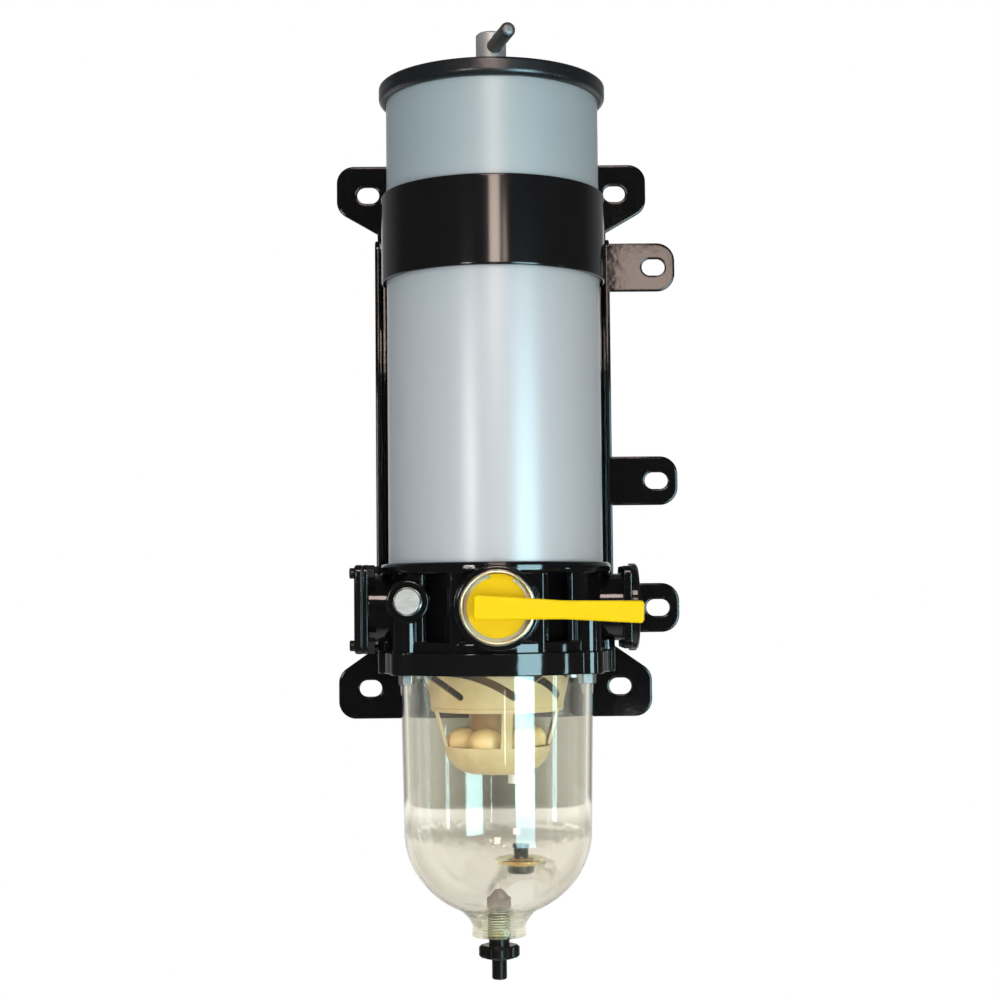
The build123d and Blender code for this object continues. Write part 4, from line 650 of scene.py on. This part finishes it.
DRAIN_PITCH = 0.0015
NECK_LOW, NECK_HIGH = -0.2950, -0.2812      # where the stem is inside the bowl's neck

stem_plastic = Finish("drain_stem_plastic", Specular_IOR_Level=0.25)
skin = stem_plastic.noise(2200, 2.0)
height = stem_plastic.place("Z")
in_neck = (height > NECK_LOW) * (height < NECK_HIGH)
painted_glint_wave = (height * (2 * math.pi / DRAIN_PITCH)).shaped("SINE") * 0.5 + 0.5
# Painted highlights and painted shade on the thread inside the neck.
lines = stem_plastic.mix(painted_glint_wave, (0.05, 0.05, 0.04), (0.80, 0.77, 0.64))
stem_plastic.set(Base_Color=stem_plastic.mix(in_neck, (0.010, 0.009, 0.009), lines),
                 Roughness=0.2 + skin * 0.12)
stem_plastic.bump(skin, 0.00003)
stem_plastic.wear("drain_stem")

# %% [markdown]
# ## Rubber
# Rubber is matt with a powdery bloom. One function makes the black gaskets, the brown drain cone and
# the orange seal of the probe.

# %% Rubbers
def rubber(name, dark_tone, light_tone, *worn_by):
    made = Finish(name, IOR=1.5)
    bloom = made.noise(800, 3.0)
    made.set(Base_Color=made.mix(bloom, dark_tone, light_tone), Roughness=0.55 + bloom * 0.25)
    made.bump(bloom, 0.00004)
    made.wear(*worn_by)


rubber("black_rubber", (0.012, 0.012, 0.012), (0.028, 0.028, 0.028), "inlet_gasket", "outlet_seal",
       "rotor_seals", "can_gasket", "lid_gasket", "cartridge_grommets", "bowl_gasket")
rubber("brown_rubber", (0.15, 0.105, 0.080), (0.24, 0.175, 0.135), "drain_seal")
rubber("orange_rubber", (1.0, 0.52, 0.22), (1.0, 0.62, 0.30), "probe_seal")

# %% [markdown]
# ## Filter paper
# The paper of the cartridge is only seen with the lid off: warm cream, with the fibres of pressed
# cellulose.

# %% Filter paper
paper = Finish("filter_paper", Roughness=0.9)
fibres = paper.noise(1800, 4.0, 0.7)
paper.set(Base_Color=paper.mix(fibres, (0.62, 0.55, 0.40), (0.74, 0.68, 0.54)))
paper.bump(fibres, 0.0001)
paper.wear("cartridge_media")

# %% [markdown]
# ## The clear bowl
# The bowl is moulded clear plastic with a 3.5 mm wall. A Principled shader with full transmission
# bends the light as the real wall does, and a Volume Absorption colours it straw yellow where the eye
# looks along the wall. In the probe's pocket and the drain neck the light would be caught between
# many walls, so the shader is let through there in part. Lamps can't light what stands behind such
# a shader, so rays on their way to a lamp meet a Transparent shader instead.

# %% Clear plastic
PROBE_X, PROBE_Y = 0.0136, AXIS_Y + 0.022
POCKET_EDGE = (0.0225, 0.0175)    # outside and inside of the pocket, from the probe's axis
POCKET_TOP = (0.2552, 0.2575)     # depths below the can's middle, as all that follow
SHELF_R = 0.0158
SHELF_TOP, SHELF_BOTTOM = 0.2535, 0.2572
NECK_TOP = (0.270, 0.286)
NECK_END = (0.2890, 0.2930)
POCKET_CLEAR, NECK_CLEAR = 0.85, 0.5        # the shares of light that are let through

clear = Finish("clear_bowl_plastic", Transmission_Weight=1.0, IOR=1.50, Roughness=0.0)
haze = clear.noise(40, 2.0)
depth = clear.place("Z") * -1
from_probe = clear.from_axis(PROBE_X, PROBE_Y)
pocket = from_probe.between(*POCKET_EDGE) * depth.between(*POCKET_TOP)
neck = depth.between(*NECK_TOP)
shelf = (from_probe < SHELF_R) * (depth > SHELF_TOP) * (depth < SHELF_BOTTOM)
thick = shelf.shaped("MAXIMUM", depth.between(*NECK_END))
body = clear.mix(haze, (0.985, 0.983, 0.970), (0.995, 0.993, 0.980))
smooth = clear.node("ShaderNodeBevel", {"samples": 8}, {"Radius": 0.0012})
opened = (pocket * POCKET_CLEAR).shaped("MAXIMUM", neck * NECK_CLEAR)
clear.set(Base_Color=clear.mix(thick, body, (0.98, 0.95, 0.58)), Normal=smooth, Alpha=1 - opened)
soak = clear.node("ShaderNodeVolumeAbsorption", values={"Color": (0.94, 0.88, 0.50), "Density": 18.0})
clear.feed(clear.output.inputs["Volume"], soak)
lets_through = clear.node("ShaderNodeBsdfTransparent", values={"Color": (0.93, 0.92, 0.86)})
glassy = Shade(clear, clear.shader.outputs[0])
clear.feed(clear.output.inputs["Surface"], clear.switch(clear.ray("Is Shadow Ray"), glassy, lets_through))
clear.wear("clear_bowl")

# %% [markdown]
# ## Threads
# CAD keeps a screw as a plain cylinder, which is right for fits. The eye sees the two screws inside
# the clear bowl, so each gets its ridge here. A ridge is a small section turned about the axis and
# raised by one pitch for each turn: bmesh's spin operator does both at once.

# %% A helical ridge
STEPS = 40                        # to one turn


def thread(name, x, y, bottom, top, radius, depth, pitch, body, finish):
    shape = bmesh.new()
    half, crest, root = pitch * 0.42, pitch * 0.105, -depth * 0.4
    section = ((root, -half), (depth, -crest), (depth, crest), (root, half))
    corners = [shape.verts.new((x + radius + out, y, bottom + up)) for out, up in section]
    face = shape.faces.new(corners)
    turns = (top - bottom) / pitch
    bmesh.ops.spin(shape, geom=[face, *face.edges, *face.verts], cent=(x, y, 0), axis=(0, 0, 1),
                   dvec=(0, 0, pitch / STEPS), angle=2 * math.pi * turns, steps=round(STEPS * turns),
                   use_duplicate=False)
    bmesh.ops.recalc_face_normals(shape, faces=shape.faces)
    piece = make_piece(name, shape)
    piece.data.shade_smooth()
    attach(piece, body)
    finish.wear(name)
    print(name, "turns:", round(turns, 1))


probe_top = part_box("water_probe")[1].z
thread("drain_thread", 0, AXIS_Y, bottom=-0.2970, top=-0.2825, radius=0.00605, depth=0.0006,
       pitch=DRAIN_PITCH, body="drain_stem", finish=stem_plastic)
thread("probe_thread", PROBE_X, PROBE_Y, bottom=-0.2538, top=probe_top - 0.0006, radius=0.0040,
       depth=0.00035, pitch=0.001, body="separator", finish=probe_steel)
